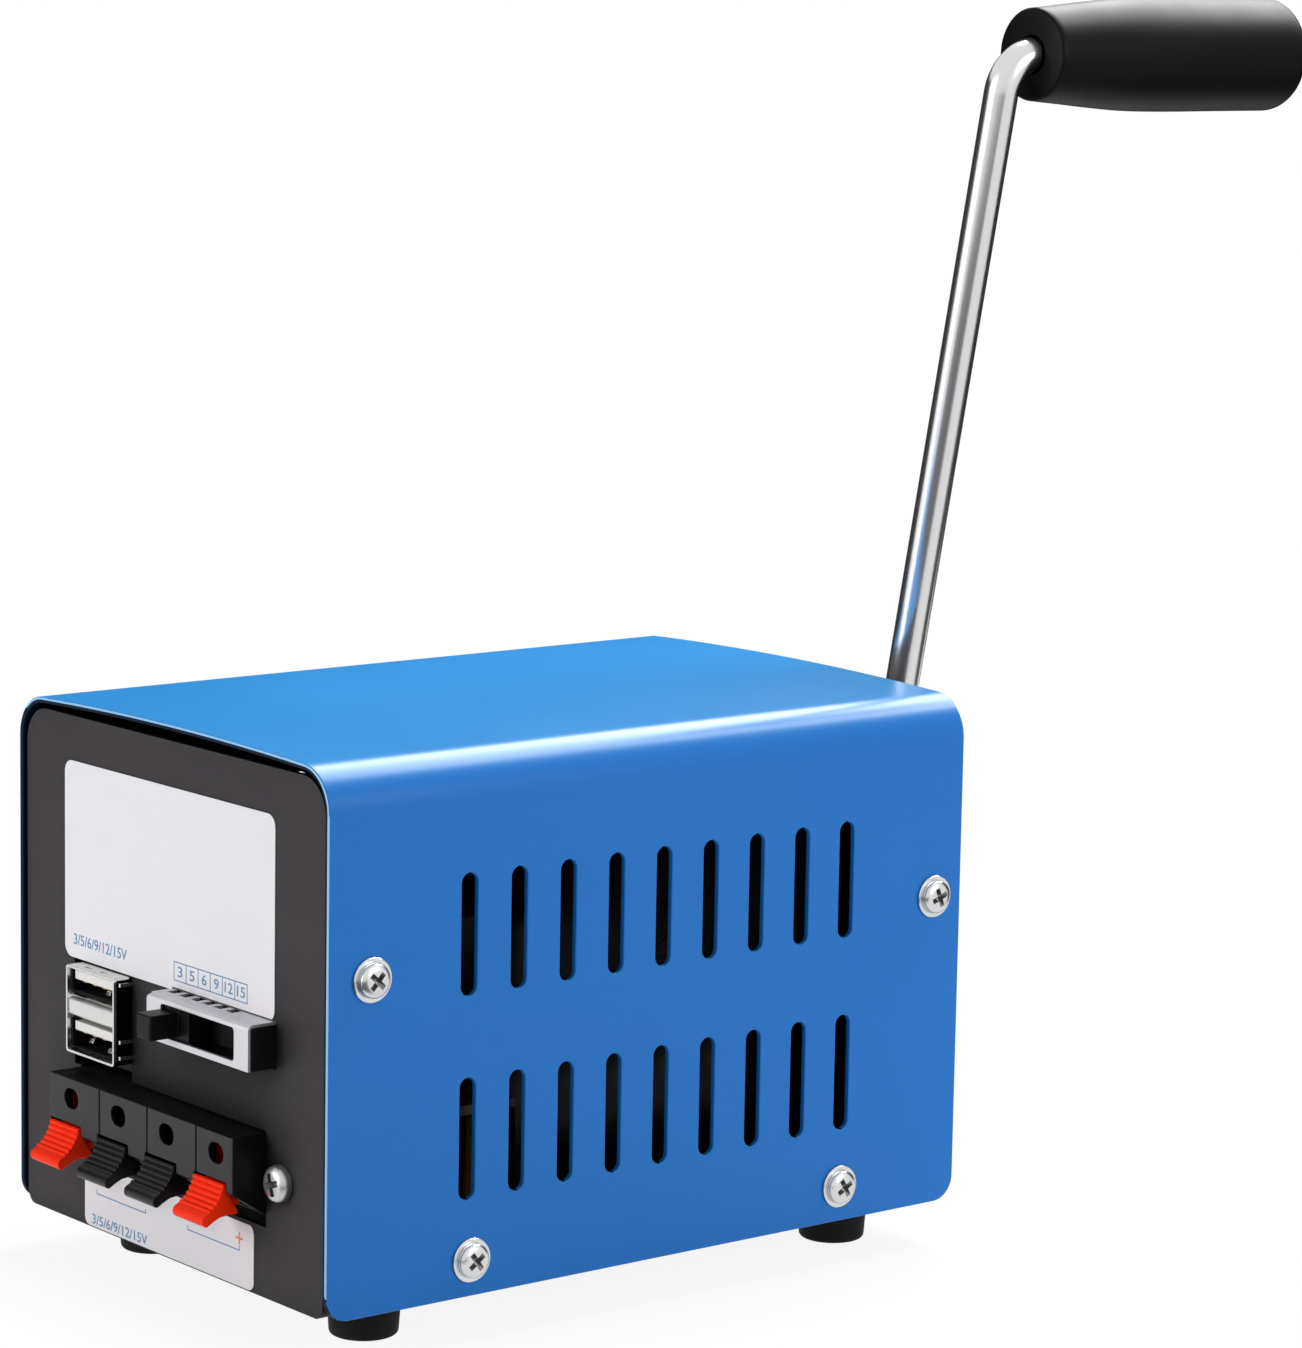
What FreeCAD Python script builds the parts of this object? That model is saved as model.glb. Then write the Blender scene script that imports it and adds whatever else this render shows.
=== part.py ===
import FreeCAD, Part
import math
import os

# Hand crank generator: a sheet steel case on four rubber feet, a gear train and a
# permanent magnet generator inside it, an output board behind the front panel, and a
# bent steel crank with a turning grip at the back.
# Millimetres.  X is the width, Y runs from the front panel to the crank, Z is up.
# While modelling, Y = 0 is the middle of the case.  Each piece is moved along Y when it
# is saved, so that the origin lies on the table under the middle of the whole object.

V = FreeCAD.Vector
os.makedirs("parts", exist_ok=True)

# ---------------------------------------------------------------- driving dimensions

# case
CASE_LENGTH = 127.0
CASE_WIDTH = 87.5
FOOT_HEIGHT = 7.4
SHEET = 1.0
COVER_SHOULDER = 84.4       # cover height where its side and top planes would meet
COVER_CROWN = 1.15          # rise of the domed top over the full width
COVER_BEND = 7.0            # outer bend radius between top and side
COVER_CORNER = 4.0          # rounded lower corners of the cover's sides
TRAY_WIDTH = 84.9           # floor and side tabs, just inside the cover
PANEL_HEIGHT = 82.8
PANEL_WIDTH = 84.3
PANEL_LOWER_CORNER = 2.5
PANEL_UPPER_CORNER = 5.8
PANEL_INSET = 0.5           # panels stand this far behind the cover's rims

# ventilation slots, two rows on each side
SLOT_COUNT = 9
SLOT_PITCH = 9.476
SLOT_FIRST_Y = -37.4
SLOT_WIDTH = 3.0
SLOT_LENGTH = 19.1
SLOT_ROW_HEIGHTS = (24.95, 56.85)

# screws that hold the cover: (Y, height above the cover's lower edge)
COVER_SCREWS = ((-55.6, 52.1), (57.5, 52.0), (-36.5, 5.8), (38.3, 5.9))
FOOT_X = 29.8
FOOT_FRONT_Y = -46.6
FOOT_REAR_Y = 49.2
FOOT_RADIUS = 5.9

# crank
SHAFT_HEIGHT = 50.5
CRANK_LENGTH = 148.75
CRANK_LEAN = 11.48          # degrees from upright, towards +X
ARM_Y = 82.0
ROD_DIAMETER = 5.8
ROD_BEND = 6.5
GRIP_START_Y = 87.4
GRIP_END_Y = 144.6
GRIP_RADIUS = 9.7
CRANK_SHAFT_RADIUS = 4.0

# gear train: module and tooth counts of the three stages
STAGE_MODULES = (1.0, 0.8, 0.6)
STAGE_WHEELS = (48, 40, 40)
PINION_TEETH = 16
STAGE_DIRECTIONS = (-138.5, -18.0, 20.0)    # degrees from +X towards +Z
BACKLASH = 0.16
PRESSURE_ANGLE = math.radians(20.0)

# gearbox plates
PLATE_THICKNESS = 2.0
FRONT_PLATE_Y = 34.0
REAR_PLATE_Y = 60.0
PLATE_HALF_WIDTH = 40.5
PLATE_BOTTOM = 9.0
PLATE_TOP = 82.0
POST_POSITIONS = ((-35.5, 12.2), (35.5, 12.2), (-35.5, 78.0), (35.5, 78.0))
POST_RADIUS = 2.75

# generator
CAN_RADIUS = 18.0
CAN_WALL = 1.2
CAN_FRONT_Y = -16.0
ROTOR_RADIUS = 13.3
ROTOR_SHAFT_RADIUS = 1.6
POLE_COUNT = 5

# front panel parts, heights measured from the cover's lower edge
TERMINAL_LEFT = -25.7
TERMINAL_RIGHT = 26.8
TERMINAL_FACE_Y = -69.1
TERMINAL_TOP = 26.1
TERMINAL_SCREW_X = (-30.0, 31.2)
TERMINAL_SCREW_HEIGHT = 19.2
LEVER_FIRST_X = -20.8
LEVER_PITCH = 13.8
LEVER_WIDTH = 8.4
LEVER_TIP_Y = -73.1
LEVER_PIVOT = (-64.6, 17.0)
WIRE_HOLE_OFFSET = 2.1
WIRE_HOLE_RADIUS = 1.6
WIRE_HOLE_HEIGHT = 22.9
USB_LEFT = -25.2
USB_RIGHT = -11.0
USB_FACE_Y = -66.3
USB_BACK_Y = -49.6
USB_BOTTOM = 29.2
USB_TOP = 43.4
SELECTOR_LEFT = 1.15
SELECTOR_RIGHT = 29.25
SELECTOR_BOTTOM = 36.65
SELECTOR_TOP = 43.9
SELECTOR_FACE_Y = -68.0
SELECTOR_PITCH = 3.24
SELECTOR_POSITIONS = 6
KNOB_WIDTH = 3.8

# output board
BOARD_BOTTOM = 34.3
BOARD_TOP = 35.9
BOARD_HALF_WIDTH = 38.0
BOARD_FRONT_Y = -60.5
BOARD_REAR_Y = -24.0

# fasteners
M3_SHANK = 1.48
M3_TAPPED = 1.5
M3_CLEARANCE = 1.65

# ------------------------------------------------------------------ derived numbers

BASE = FOOT_HEIGHT
HALF_LENGTH = CASE_LENGTH / 2
HALF_WIDTH = CASE_WIDTH / 2
PANEL_Y = HALF_LENGTH - PANEL_INSET
FLOOR_TOP = BASE + SHEET
ORIGIN_SHIFT = -(LEVER_TIP_Y + GRIP_END_Y) / 2


# --------------------------------------------------------------------- small helpers

def box(x0, x1, y0, y1, z0, z1):
    return Part.makeBox(x1 - x0, y1 - y0, z1 - z0, V(x0, y0, z0))


def round_x(y, z, x0, x1, radius):
    return Part.makeCylinder(radius, x1 - x0, V(x0, y, z), V(1, 0, 0))


def round_y(x, z, y0, y1, radius):
    return Part.makeCylinder(radius, y1 - y0, V(x, y0, z), V(0, 1, 0))


def round_z(x, y, z0, z1, radius):
    return Part.makeCylinder(radius, z1 - z0, V(x, y, z0), V(0, 0, 1))


def tube_y(x, z, y0, y1, outer, inner):
    return round_y(x, z, y0, y1, outer).cut(round_y(x, z, y0 - 1, y1 + 1, inner))


def profile_x(points, x0, x1):
    """Extrudes a closed outline of (y, z) points along X."""
    corners = [V(x0, y, z) for y, z in points]
    face = Part.Face(Part.makePolygon(corners + corners[:1]))
    return face.extrude(V(x1 - x0, 0, 0))


def profile_y(points, y0, y1):
    """Extrudes a closed outline of (x, z) points along Y."""
    corners = [V(x, y0, z) for x, z in points]
    face = Part.Face(Part.makePolygon(corners + corners[:1]))
    return face.extrude(V(0, y1 - y0, 0))


def edges_along(shape, axis, keep):
    """Straight edges parallel to one axis whose middle point passes the test keep."""
    found = []
    for edge in shape.Edges:
        if len(edge.Vertexes) != 2:
            continue
        run = edge.Vertexes[1].Point - edge.Vertexes[0].Point
        middle = (edge.Vertexes[1].Point + edge.Vertexes[0].Point) * 0.5
        across = run - axis * run.dot(axis)
        if across.Length < 1e-6 and keep(middle):
            found.append(edge)
    return found


def rounded_panel(x0, x1, y0, y1, z0, z1, low, high):
    """A plate across Y with its two lower and two upper corners rounded."""
    plate = box(x0, x1, y0, y1, z0, z1)
    middle = (z0 + z1) / 2
    axis = V(0, 1, 0)
    if high > 0:
        plate = plate.makeFillet(high, edges_along(plate, axis, lambda p: p.z > middle))
    if low > 0:
        plate = plate.makeFillet(low, edges_along(plate, axis, lambda p: p.z < middle))
    return plate


def fuse(shapes):
    whole = shapes[0]
    for shape in shapes[1:]:
        whole = whole.fuse(shape)
    return whole.removeSplitter()


def turned(shape, degrees, x, z):
    """The shape turned about an axis parallel to Y through (x, z), from +Z to +X."""
    copy = shape.copy()
    copy.rotate(V(x, 0, z), V(0, 1, 0), degrees)
    return copy


def bent_rod(points, bends, radius):
    """A round rod along straight runs that are joined by tangent arcs."""
    pieces = []
    start = points[0]
    for index in range(1, len(points) - 1):
        corner = points[index]
        bend = bends[index - 1]
        before = (corner - points[index - 1]).normalize()
        after = (points[index + 1] - corner).normalize()
        half_turn = before.getAngle(after) / 2
        reach = bend * math.tan(half_turn)
        first = corner - before * reach
        last = corner + after * reach
        inward = (after - before).normalize()
        centre = corner + inward * (bend / math.cos(half_turn))
        middle = centre - inward * bend
        pieces.append(Part.makeLine(start, first))
        pieces.append(Part.Arc(first, middle, last).toShape())
        start = last
    pieces.append(Part.makeLine(start, points[-1]))
    path = Part.Wire(pieces)
    direction = (points[1] - points[0]).normalize()
    section = Part.Wire(Part.makeCircle(radius, points[0], direction))
    return path.makePipeShell([section], True, False)


def pan_screw(length, head_radius=2.7, head_height=1.9, shank=M3_SHANK):
    """A cross-recessed pan head screw: head above z = 0, shank below it."""
    head = Part.makeCylinder(head_radius, head_height)
    rim = [e for e in head.Edges if len(e.Vertexes) == 1 and e.CenterOfMass.z > head_height / 2]
    head = head.makeFillet(head_height * 0.62, rim)
    slot_length = head_radius * 1.15
    slot_floor = head_height - min(1.0, head_height * 0.7)
    for across, along in ((0.6, slot_length), (slot_length, 0.6)):
        head = head.cut(box(-across / 2, across / 2, -along / 2, along / 2, slot_floor, head_height + 1))
    head = head.cut(Part.makeCone(0.75, 0.05, 0.6, V(0, 0, slot_floor + 0.05), V(0, 0, -1)))
    return head.fuse(Part.makeCylinder(shank, length, V(0, 0, -length))).removeSplitter()


def placed(shape, position, direction):
    """A copy of a shape built along +Z, moved to a position and turned to a direction."""
    copy = shape.copy()
    turn = FreeCAD.Rotation(V(0, 0, 1), direction)
    copy.Placement = FreeCAD.Placement(position, turn)
    return copy


def hex_prism_z(x, y, z0, z1, across_flats):
    radius = across_flats / math.sqrt(3)
    corners = []
    for index in range(6):
        angle = math.radians(60 * index + 30)
        corners.append(V(x + radius * math.cos(angle), y + radius * math.sin(angle), z0))
    return Part.Face(Part.makePolygon(corners + corners[:1])).extrude(V(0, 0, z1 - z0))


saved = {}


def save(node, shapes):
    """Moves a piece, or a group of separate pieces, into the object's frame and writes it."""
    solids = shapes if isinstance(shapes, list) else [shapes]
    flat = [solid for shape in solids for solid in shape.Solids]
    whole = flat[0].copy() if len(flat) == 1 else Part.makeCompound([s.copy() for s in flat])
    whole.translate(V(0, ORIGIN_SHIFT, 0))
    whole.exportStep("parts/" + node + ".step")
    saved[node] = whole


# ------------------------------------------------------------------------ the gears

def involute(angle):
    return math.tan(angle) - angle


def gear_tooth_point(radius, half_angle, centre_angle):
    angle = centre_angle + half_angle
    return V(radius * math.cos(angle), 0, radius * math.sin(angle))


def spur_gear(module, teeth, x, z, y0, y1, tooth_angle, bore):
    """A spur gear about an axis along Y.  One tooth points along tooth_angle."""
    pitch_radius = module * teeth / 2
    base_radius = pitch_radius * math.cos(PRESSURE_ANGLE)
    tip_radius = pitch_radius + module * 0.97
    root_radius = pitch_radius - module * 1.22
    flank_start = max(base_radius, root_radius + 0.02 * module)
    flank_middle = (flank_start + tip_radius) / 2
    tooth_width = math.pi * module / 2 - BACKLASH / 2

    def half_angle(radius):
        pressure = math.acos(min(1.0, base_radius / radius))
        return tooth_width / (2 * pitch_radius) + involute(PRESSURE_ANGLE) - involute(pressure)

    edges = []
    for index in range(teeth):
        centre = tooth_angle + 2 * math.pi * index / teeth
        following = centre + 2 * math.pi / teeth
        root_angle = half_angle(flank_start)
        rise = [gear_tooth_point(r, -half_angle(r), centre) for r in (flank_start, flank_middle, tip_radius)]
        fall = [gear_tooth_point(r, half_angle(r), centre) for r in (tip_radius, flank_middle, flank_start)]
        root_in = gear_tooth_point(root_radius, -root_angle, centre)
        root_out = gear_tooth_point(root_radius, root_angle, centre)
        next_root = gear_tooth_point(root_radius, -root_angle, following)
        edges.append(Part.makeLine(root_in, rise[0]))
        edges.append(Part.Arc(*rise).toShape())
        edges.append(Part.makeLine(rise[2], fall[0]))
        edges.append(Part.Arc(*fall).toShape())
        edges.append(Part.makeLine(fall[2], root_out))
        edges.append(Part.makeLine(root_out, next_root))
    outline = Part.Wire(edges)
    body = Part.Face(outline).extrude(V(0, y1 - y0, 0))
    body.translate(V(x, y0, z))
    return body.cut(round_y(x, z, y0 - 1, y1 + 1, bore))


def step_from(point, distance, degrees):
    angle = math.radians(degrees)
    return (point[0] + distance * math.cos(angle), point[1] + distance * math.sin(angle))


centre_distances = [m * (w + PINION_TEETH) / 2 for m, w in zip(STAGE_MODULES, STAGE_WHEELS)]
AXIS_CRANK = (0.0, SHAFT_HEIGHT)
AXIS_FIRST = step_from(AXIS_CRANK, centre_distances[0], STAGE_DIRECTIONS[0])
AXIS_SECOND = step_from(AXIS_FIRST, centre_distances[1], STAGE_DIRECTIONS[1])
AXIS_ROTOR = step_from(AXIS_SECOND, centre_distances[2], STAGE_DIRECTIONS[2])


def wheel_angle(stage):
    return math.radians(STAGE_DIRECTIONS[stage])


def pinion_angle(stage):
    """A gap of the pinion faces the wheel's tooth."""
    return math.radians(STAGE_DIRECTIONS[stage] + 180) + math.pi / PINION_TEETH


# ------------------------------------------------------------------- case: the cover

def cover_block(shrink, y0, y1):
    """The solid under the cover's outer skin, or under its inner skin when shrunk."""
    half = HALF_WIDTH - shrink
    crown_radius = HALF_WIDTH ** 2 / (2 * COVER_CROWN) + COVER_CROWN / 2
    crown_z = BASE + COVER_SHOULDER + COVER_CROWN
    radius = crown_radius - shrink
    drop = radius - math.sqrt(radius ** 2 - half ** 2)
    top = crown_z - shrink
    left = V(-half, y0, BASE - shrink)
    right = V(half, y0, BASE - shrink)
    left_up = V(-half, y0, top - drop)
    right_up = V(half, y0, top - drop)
    edges = [
        Part.makeLine(left, right),
        Part.makeLine(right, right_up),
        Part.Arc(right_up, V(0, y0, top), left_up).toShape(),
        Part.makeLine(left_up, left),
    ]
    block = Part.Face(Part.Wire(edges)).extrude(V(0, y1 - y0, 0))
    shoulders = edges_along(block, V(0, 1, 0), lambda p: p.z > BASE + 40)
    return block.makeFillet(COVER_BEND - shrink, shoulders)


def slot(y, z):
    """One ventilation slot, cut right through both cover sides."""
    half = (SLOT_LENGTH - SLOT_WIDTH) / 2
    reach = HALF_WIDTH + 2
    middle = box(-reach, reach, y - SLOT_WIDTH / 2, y + SLOT_WIDTH / 2, z - half, z + half)
    ends = [round_x(y, z + s * half, -reach, reach, SLOT_WIDTH / 2) for s in (-1, 1)]
    return fuse([middle] + ends)


cover = cover_block(0, -HALF_LENGTH, HALF_LENGTH)
cover = cover.cut(cover_block(SHEET, -HALF_LENGTH - 1, HALF_LENGTH + 1))
lower_corners = edges_along(cover, V(1, 0, 0), lambda p: p.z < BASE + 1)
cover = cover.makeFillet(COVER_CORNER, lower_corners)
slots = []
for row_height in SLOT_ROW_HEIGHTS:
    for index in range(SLOT_COUNT):
        slots.append(slot(SLOT_FIRST_Y + SLOT_PITCH * index, BASE + row_height))
cover = cover.cut(Part.makeCompound(slots))
for screw_y, screw_height in COVER_SCREWS:
    cover = cover.cut(round_x(screw_y, BASE + screw_height, -50, 50, M3_CLEARANCE))
save("cover", cover)

# ----------------------------------------------------------- case: the folded chassis

# A tray folded from one sheet: floor, front panel and back panel, with side tabs.
half_panel = PANEL_WIDTH / 2
half_tray = TRAY_WIDTH / 2
panel_top = BASE + PANEL_HEIGHT
floor = box(-half_panel, half_panel, -PANEL_Y, PANEL_Y, BASE, FLOOR_TOP)
front_panel = box(-half_panel, half_panel, -PANEL_Y, -PANEL_Y + SHEET, BASE, panel_top)
back_panel = box(-half_panel, half_panel, PANEL_Y - SHEET, PANEL_Y, BASE, panel_top)
chassis = fuse([floor, front_panel, back_panel])
fold_edges = edges_along(chassis, V(1, 0, 0), lambda p: p.z < BASE + 0.1 and abs(p.y) > 60)
chassis = chassis.makeFillet(0.4, fold_edges)
outline = rounded_panel(
    -half_panel, half_panel, -PANEL_Y - 1, PANEL_Y + 1, BASE, panel_top, PANEL_LOWER_CORNER, PANEL_UPPER_CORNER
)
chassis = chassis.common(outline)
chassis = chassis.fuse(box(-half_tray, half_tray, -PANEL_Y + 7, PANEL_Y - 7, BASE, FLOOR_TOP))

tab_top = BASE + 76.0
for side in (-1, 1):
    outer = side * half_tray
    inner = side * (half_tray - SHEET)
    x0, x1 = min(outer, inner), max(outer, inner)
    front_tab = box(x0, x1, -PANEL_Y + SHEET, -PANEL_Y + 12.5, BASE + 12, tab_top)
    back_tab = box(x0, x1, PANEL_Y - 10.5, PANEL_Y - SHEET, BASE + 12, tab_top)
    floor_tab = box(x0, x1, -46, 48, FLOOR_TOP, BASE + 10.5)
    chassis = chassis.fuse([front_tab, back_tab, floor_tab])
chassis = chassis.removeSplitter()

terminal_opening = box(
    TERMINAL_LEFT - 0.2, TERMINAL_RIGHT + 0.2, -65, -60, BASE + 11.3, BASE + TERMINAL_TOP + 0.3
)
usb_opening = box(USB_LEFT - 2.6, USB_RIGHT + 0.15, -65, -60, BASE + 26.2, BASE + USB_TOP + 0.15)
selector_opening = box(
    SELECTOR_LEFT - 0.2, SELECTOR_RIGHT + 0.2, -65, -60, BASE + SELECTOR_BOTTOM - 0.2, BASE + SELECTOR_TOP + 0.1
)
chassis = chassis.cut(fuse([terminal_opening, usb_opening]))
chassis = chassis.cut(selector_opening)
for screw_y, screw_height in COVER_SCREWS:
    chassis = chassis.cut(round_x(screw_y, BASE + screw_height, -50, 50, M3_TAPPED))

for x in TERMINAL_SCREW_X:
    chassis = chassis.cut(round_y(x, BASE + TERMINAL_SCREW_HEIGHT, -65, -60, M3_CLEARANCE))

feet = [(sx * FOOT_X, y) for sx in (-1, 1) for y in (FOOT_FRONT_Y, FOOT_REAR_Y)]
standoffs = [(sx * 35.0, y) for sx in (-1, 1) for y in (-54.0, -28.0)]
for x, y in feet + standoffs:
    chassis = chassis.cut(round_z(x, y, BASE - 1, FLOOR_TOP + 1, M3_CLEARANCE))
for x, z in POST_POSITIONS:
    chassis = chassis.cut(round_y(x, z, PANEL_Y - 2, PANEL_Y + 1, M3_CLEARANCE))
BUSH_RADIUS = 6.0
chassis = chassis.cut(round_y(0, SHAFT_HEIGHT, PANEL_Y - 2, PANEL_Y + 1, BUSH_RADIUS + 0.1))
save("chassis", chassis)

# --------------------------------------------------------- case: screws, washers, feet

COVER_WASHER = 0.5
screw = pan_screw(5.0, 2.72, 1.25)
cover_screws = []
cover_washers = []
for side in (-1, 1):
    for screw_y, screw_height in COVER_SCREWS:
        z = BASE + screw_height
        face = side * HALF_WIDTH
        head = side * (HALF_WIDTH + COVER_WASHER)
        cover_screws.append(placed(screw, V(head, screw_y, z), V(side, 0, 0)))
        washer = round_x(screw_y, z, min(face, head), max(face, head), 3.5)
        cover_washers.append(washer.cut(round_x(screw_y, z, -50, 50, M3_SHANK + 0.1)))
save("cover_screws", cover_screws)
save("cover_washers", cover_washers)

# Screws and nuts that only show once the case is open are gathered as one group.
inner_fasteners = []
rubber_feet = []
for x, y in feet:
    foot = Part.makeCone(FOOT_RADIUS - 0.5, FOOT_RADIUS, FOOT_HEIGHT, V(x, y, 0), V(0, 0, 1))
    rim = [e for e in foot.Edges if len(e.Vertexes) == 1 and e.CenterOfMass.z < 1]
    foot = foot.makeFillet(0.8, rim)
    foot = foot.cut(round_z(x, y, -1, 4.0, 3.3))
    foot = foot.cut(round_z(x, y, 3, FOOT_HEIGHT + 1, M3_CLEARANCE))
    rubber_feet.append(foot)
    inner_fasteners.append(placed(pan_screw(7.2), V(x, y, 4.0), V(0, 0, -1)))
    nut = hex_prism_z(x, y, FLOOR_TOP, FLOOR_TOP + 2.4, 5.5)
    inner_fasteners.append(nut.cut(round_z(x, y, 0, 20, M3_TAPPED)))
save("rubber_feet", rubber_feet)

# ------------------------------------------------------------------- case: the labels

LABEL_THICKNESS = 0.15
label_face = -PANEL_Y - LABEL_THICKNESS
upper_label = rounded_panel(-30.5, 29.1, label_face, -PANEL_Y, BASE + 43.6, BASE + 75.6, 2.0, 2.0)
upper_label = upper_label.cut(box(
    SELECTOR_LEFT - 0.2, SELECTOR_RIGHT + 0.2, -65, -60, BASE + 40, BASE + SELECTOR_TOP + 0.2
))
lower_label = rounded_panel(-24.6, 23.85, label_face, -PANEL_Y, BASE + 0.4, BASE + 10.75, 1.4, 1.4)
save("upper_label", upper_label)
save("lower_label", lower_label)

# ------------------------------------------------------- front: stacked USB connector

USB_SHEET = 0.35
usb_z0 = BASE + USB_BOTTOM
usb_z1 = BASE + USB_TOP
divider_low = BASE + 35.0
divider_high = BASE + 38.7
shell = rounded_panel(USB_LEFT, USB_RIGHT, USB_FACE_Y, USB_BACK_Y, usb_z0, usb_z1, 0.7, 0.7)
inner_left = USB_LEFT + USB_SHEET
inner_right = USB_RIGHT - USB_SHEET
shell = shell.cut(box(
    inner_left, inner_right, USB_FACE_Y - 1, USB_BACK_Y + 1, usb_z0 + USB_SHEET, usb_z1 - USB_SHEET
))
divider = box(inner_left, inner_right, USB_FACE_Y + 0.4, -52.0, divider_low, divider_high)
divider = divider.cut(box(
    inner_left - 1, inner_right + 1, USB_FACE_Y + 0.8, -51.0, divider_low + USB_SHEET, divider_high - USB_SHEET
))
spring_tabs = []
for z in (BASE + 41.8, BASE + 33.0):
    spring_tabs.append(box(USB_RIGHT - 0.05, USB_RIGHT + 0.3, USB_FACE_Y + 0.4, USB_FACE_Y + 2.6, z, z + 0.7))
    spring_tabs.append(box(USB_LEFT - 0.3, USB_LEFT + 0.05, USB_FACE_Y + 0.4, USB_FACE_Y + 2.6, z, z + 0.7))
save("usb_shell", fuse([shell, divider] + spring_tabs))

TONGUE_HEIGHTS = (32.7, 41.0)
TONGUE_THICKNESS = 1.55
tongue_left = USB_LEFT + 1.8
tongue_right = USB_RIGHT - 1.0
insert_parts = [box(
    inner_left + 0.05, inner_right - 0.05, -51.9, USB_BACK_Y, usb_z0 + USB_SHEET + 0.05, usb_z1 - USB_SHEET - 0.05
)]
usb_contacts = []
contact_pitch = (tongue_right - tongue_left) / 4
for height in TONGUE_HEIGHTS:
    z = BASE + height
    insert_parts.append(box(tongue_left, tongue_right, USB_FACE_Y + 1.0, -51.9, z, z + TONGUE_THICKNESS))
    for index in range(4):
        x = tongue_left + contact_pitch * (index + 0.5)
        usb_contacts.append(box(x - 0.5, x + 0.5, USB_FACE_Y + 1.6, -52.0, z - 0.3, z))
save("usb_insert", fuse(insert_parts))
save("usb_contacts", usb_contacts)

# ------------------------------------------------------ front: voltage slide selector

sel_z0 = BASE + SELECTOR_BOTTOM
sel_z1 = BASE + SELECTOR_TOP
FRAME_SHEET = 0.5
FRAME_BEND = 0.9
opening_left = SELECTOR_LEFT + 3.95
opening_right = SELECTOR_RIGHT - 3.85
frame_outside = box(SELECTOR_LEFT, SELECTOR_RIGHT, SELECTOR_FACE_Y, -58.0, sel_z0, sel_z1)
frame_inside = box(
    SELECTOR_LEFT - 1, SELECTOR_RIGHT + 1, SELECTOR_FACE_Y + FRAME_SHEET, -57.0, sel_z0 + FRAME_SHEET,
    sel_z1 - FRAME_SHEET,
)
across = V(1, 0, 0)
frame_outside = frame_outside.makeFillet(
    FRAME_BEND, edges_along(frame_outside, across, lambda p: p.y < -65 and p.z > sel_z1 - 1)
)
frame_inside = frame_inside.makeFillet(
    FRAME_BEND - FRAME_SHEET, edges_along(frame_inside, across, lambda p: p.y < -65 and p.z > sel_z1 - 1)
)
selector_frame = frame_outside.cut(frame_inside)
for x in (SELECTOR_LEFT, SELECTOR_RIGHT - 0.9):
    selector_frame = selector_frame.cut(box(x, x + 0.9, -67.5, -57.0, sel_z0 - 1, sel_z0 + 1))
selector_frame = selector_frame.cut(rounded_panel(
    opening_left, opening_right, -70, -66, BASE + 37.65, BASE + 42.85, 0.6, 0.6
))
NOTCH_PITCH = 3.22
for index in range(SELECTOR_POSITIONS):
    x = SELECTOR_LEFT + 2.3 + NOTCH_PITCH * index
    notch = box(x - 1.0, x + 1.0, -64.0, -63.4, sel_z1 - 0.4, sel_z1 + 1)
    selector_frame = selector_frame.cut(notch)
save("selector_frame", selector_frame)

inner_z0 = sel_z0 + FRAME_SHEET
inner_z1 = sel_z1 - FRAME_SHEET
selector_back = box(SELECTOR_LEFT, SELECTOR_RIGHT, -62.8, -57.0, inner_z0, inner_z1)
cheeks = []
for x in (SELECTOR_LEFT, SELECTOR_RIGHT - 0.85):
    cheek = box(x, x + 0.85, SELECTOR_FACE_Y + FRAME_SHEET, -62.8, sel_z0, inner_z1)
    top_edge = edges_along(cheek, across, lambda p: p.y < -65 and p.z > inner_z1 - 0.1)
    cheeks.append(cheek.makeFillet(FRAME_BEND - FRAME_SHEET, top_edge))
save("selector_body", fuse([selector_back] + cheeks))

knob_left = opening_left + 0.15
slider_left = knob_left - 3.0
knob_top = BASE + 42.05
knob_bottom = BASE + 38.1
slider = box(slider_left, slider_left + KNOB_WIDTH + 6.0, -67.35, -64.0, inner_z0 + 0.15, inner_z1 - 0.3)
knob = box(knob_left, knob_left + KNOB_WIDTH, -72.5, -67.35, knob_bottom, knob_top)
tip_edges = [e for e in knob.Edges if e.CenterOfMass.y < -72.4]
knob = knob.makeFillet(0.35, tip_edges)
save("selector_knob", fuse([slider, knob]))

wiper_x = slider_left + 1.5
wiper_profile = [(-64.0, -1.0), (-63.6, -1.0), (-63.1, 0.0), (-63.6, 1.0), (-64.0, 1.0)]
wiper_middle = (inner_z0 + inner_z1) / 2
wiper = profile_x([(y, wiper_middle + z) for y, z in wiper_profile], wiper_x, wiper_x + KNOB_WIDTH + 3.0)
save("selector_wiper", wiper)

selector_pins = []
pin_holes = []
for index in range(SELECTOR_POSITIONS + 1):
    x = SELECTOR_LEFT + 4.4 + SELECTOR_PITCH * index
    level = box(x - 0.4, x + 0.4, -57.0, -54.6, inner_z0 + 2.2, inner_z0 + 2.8)
    drop = box(x - 0.4, x + 0.4, -55.2, -54.6, BOARD_BOTTOM - 0.6, inner_z0 + 2.8)
    selector_pins.append(fuse([level, drop]))
    pin_holes.append(box(x - 0.5, x + 0.5, -55.3, -54.5, BOARD_BOTTOM - 1, BOARD_TOP + 1))
save("selector_pins", selector_pins)

# ------------------------------------------------- front: four-way push terminal block

def at_base(points):
    return [(y, BASE + z) for y, z in points]


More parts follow.
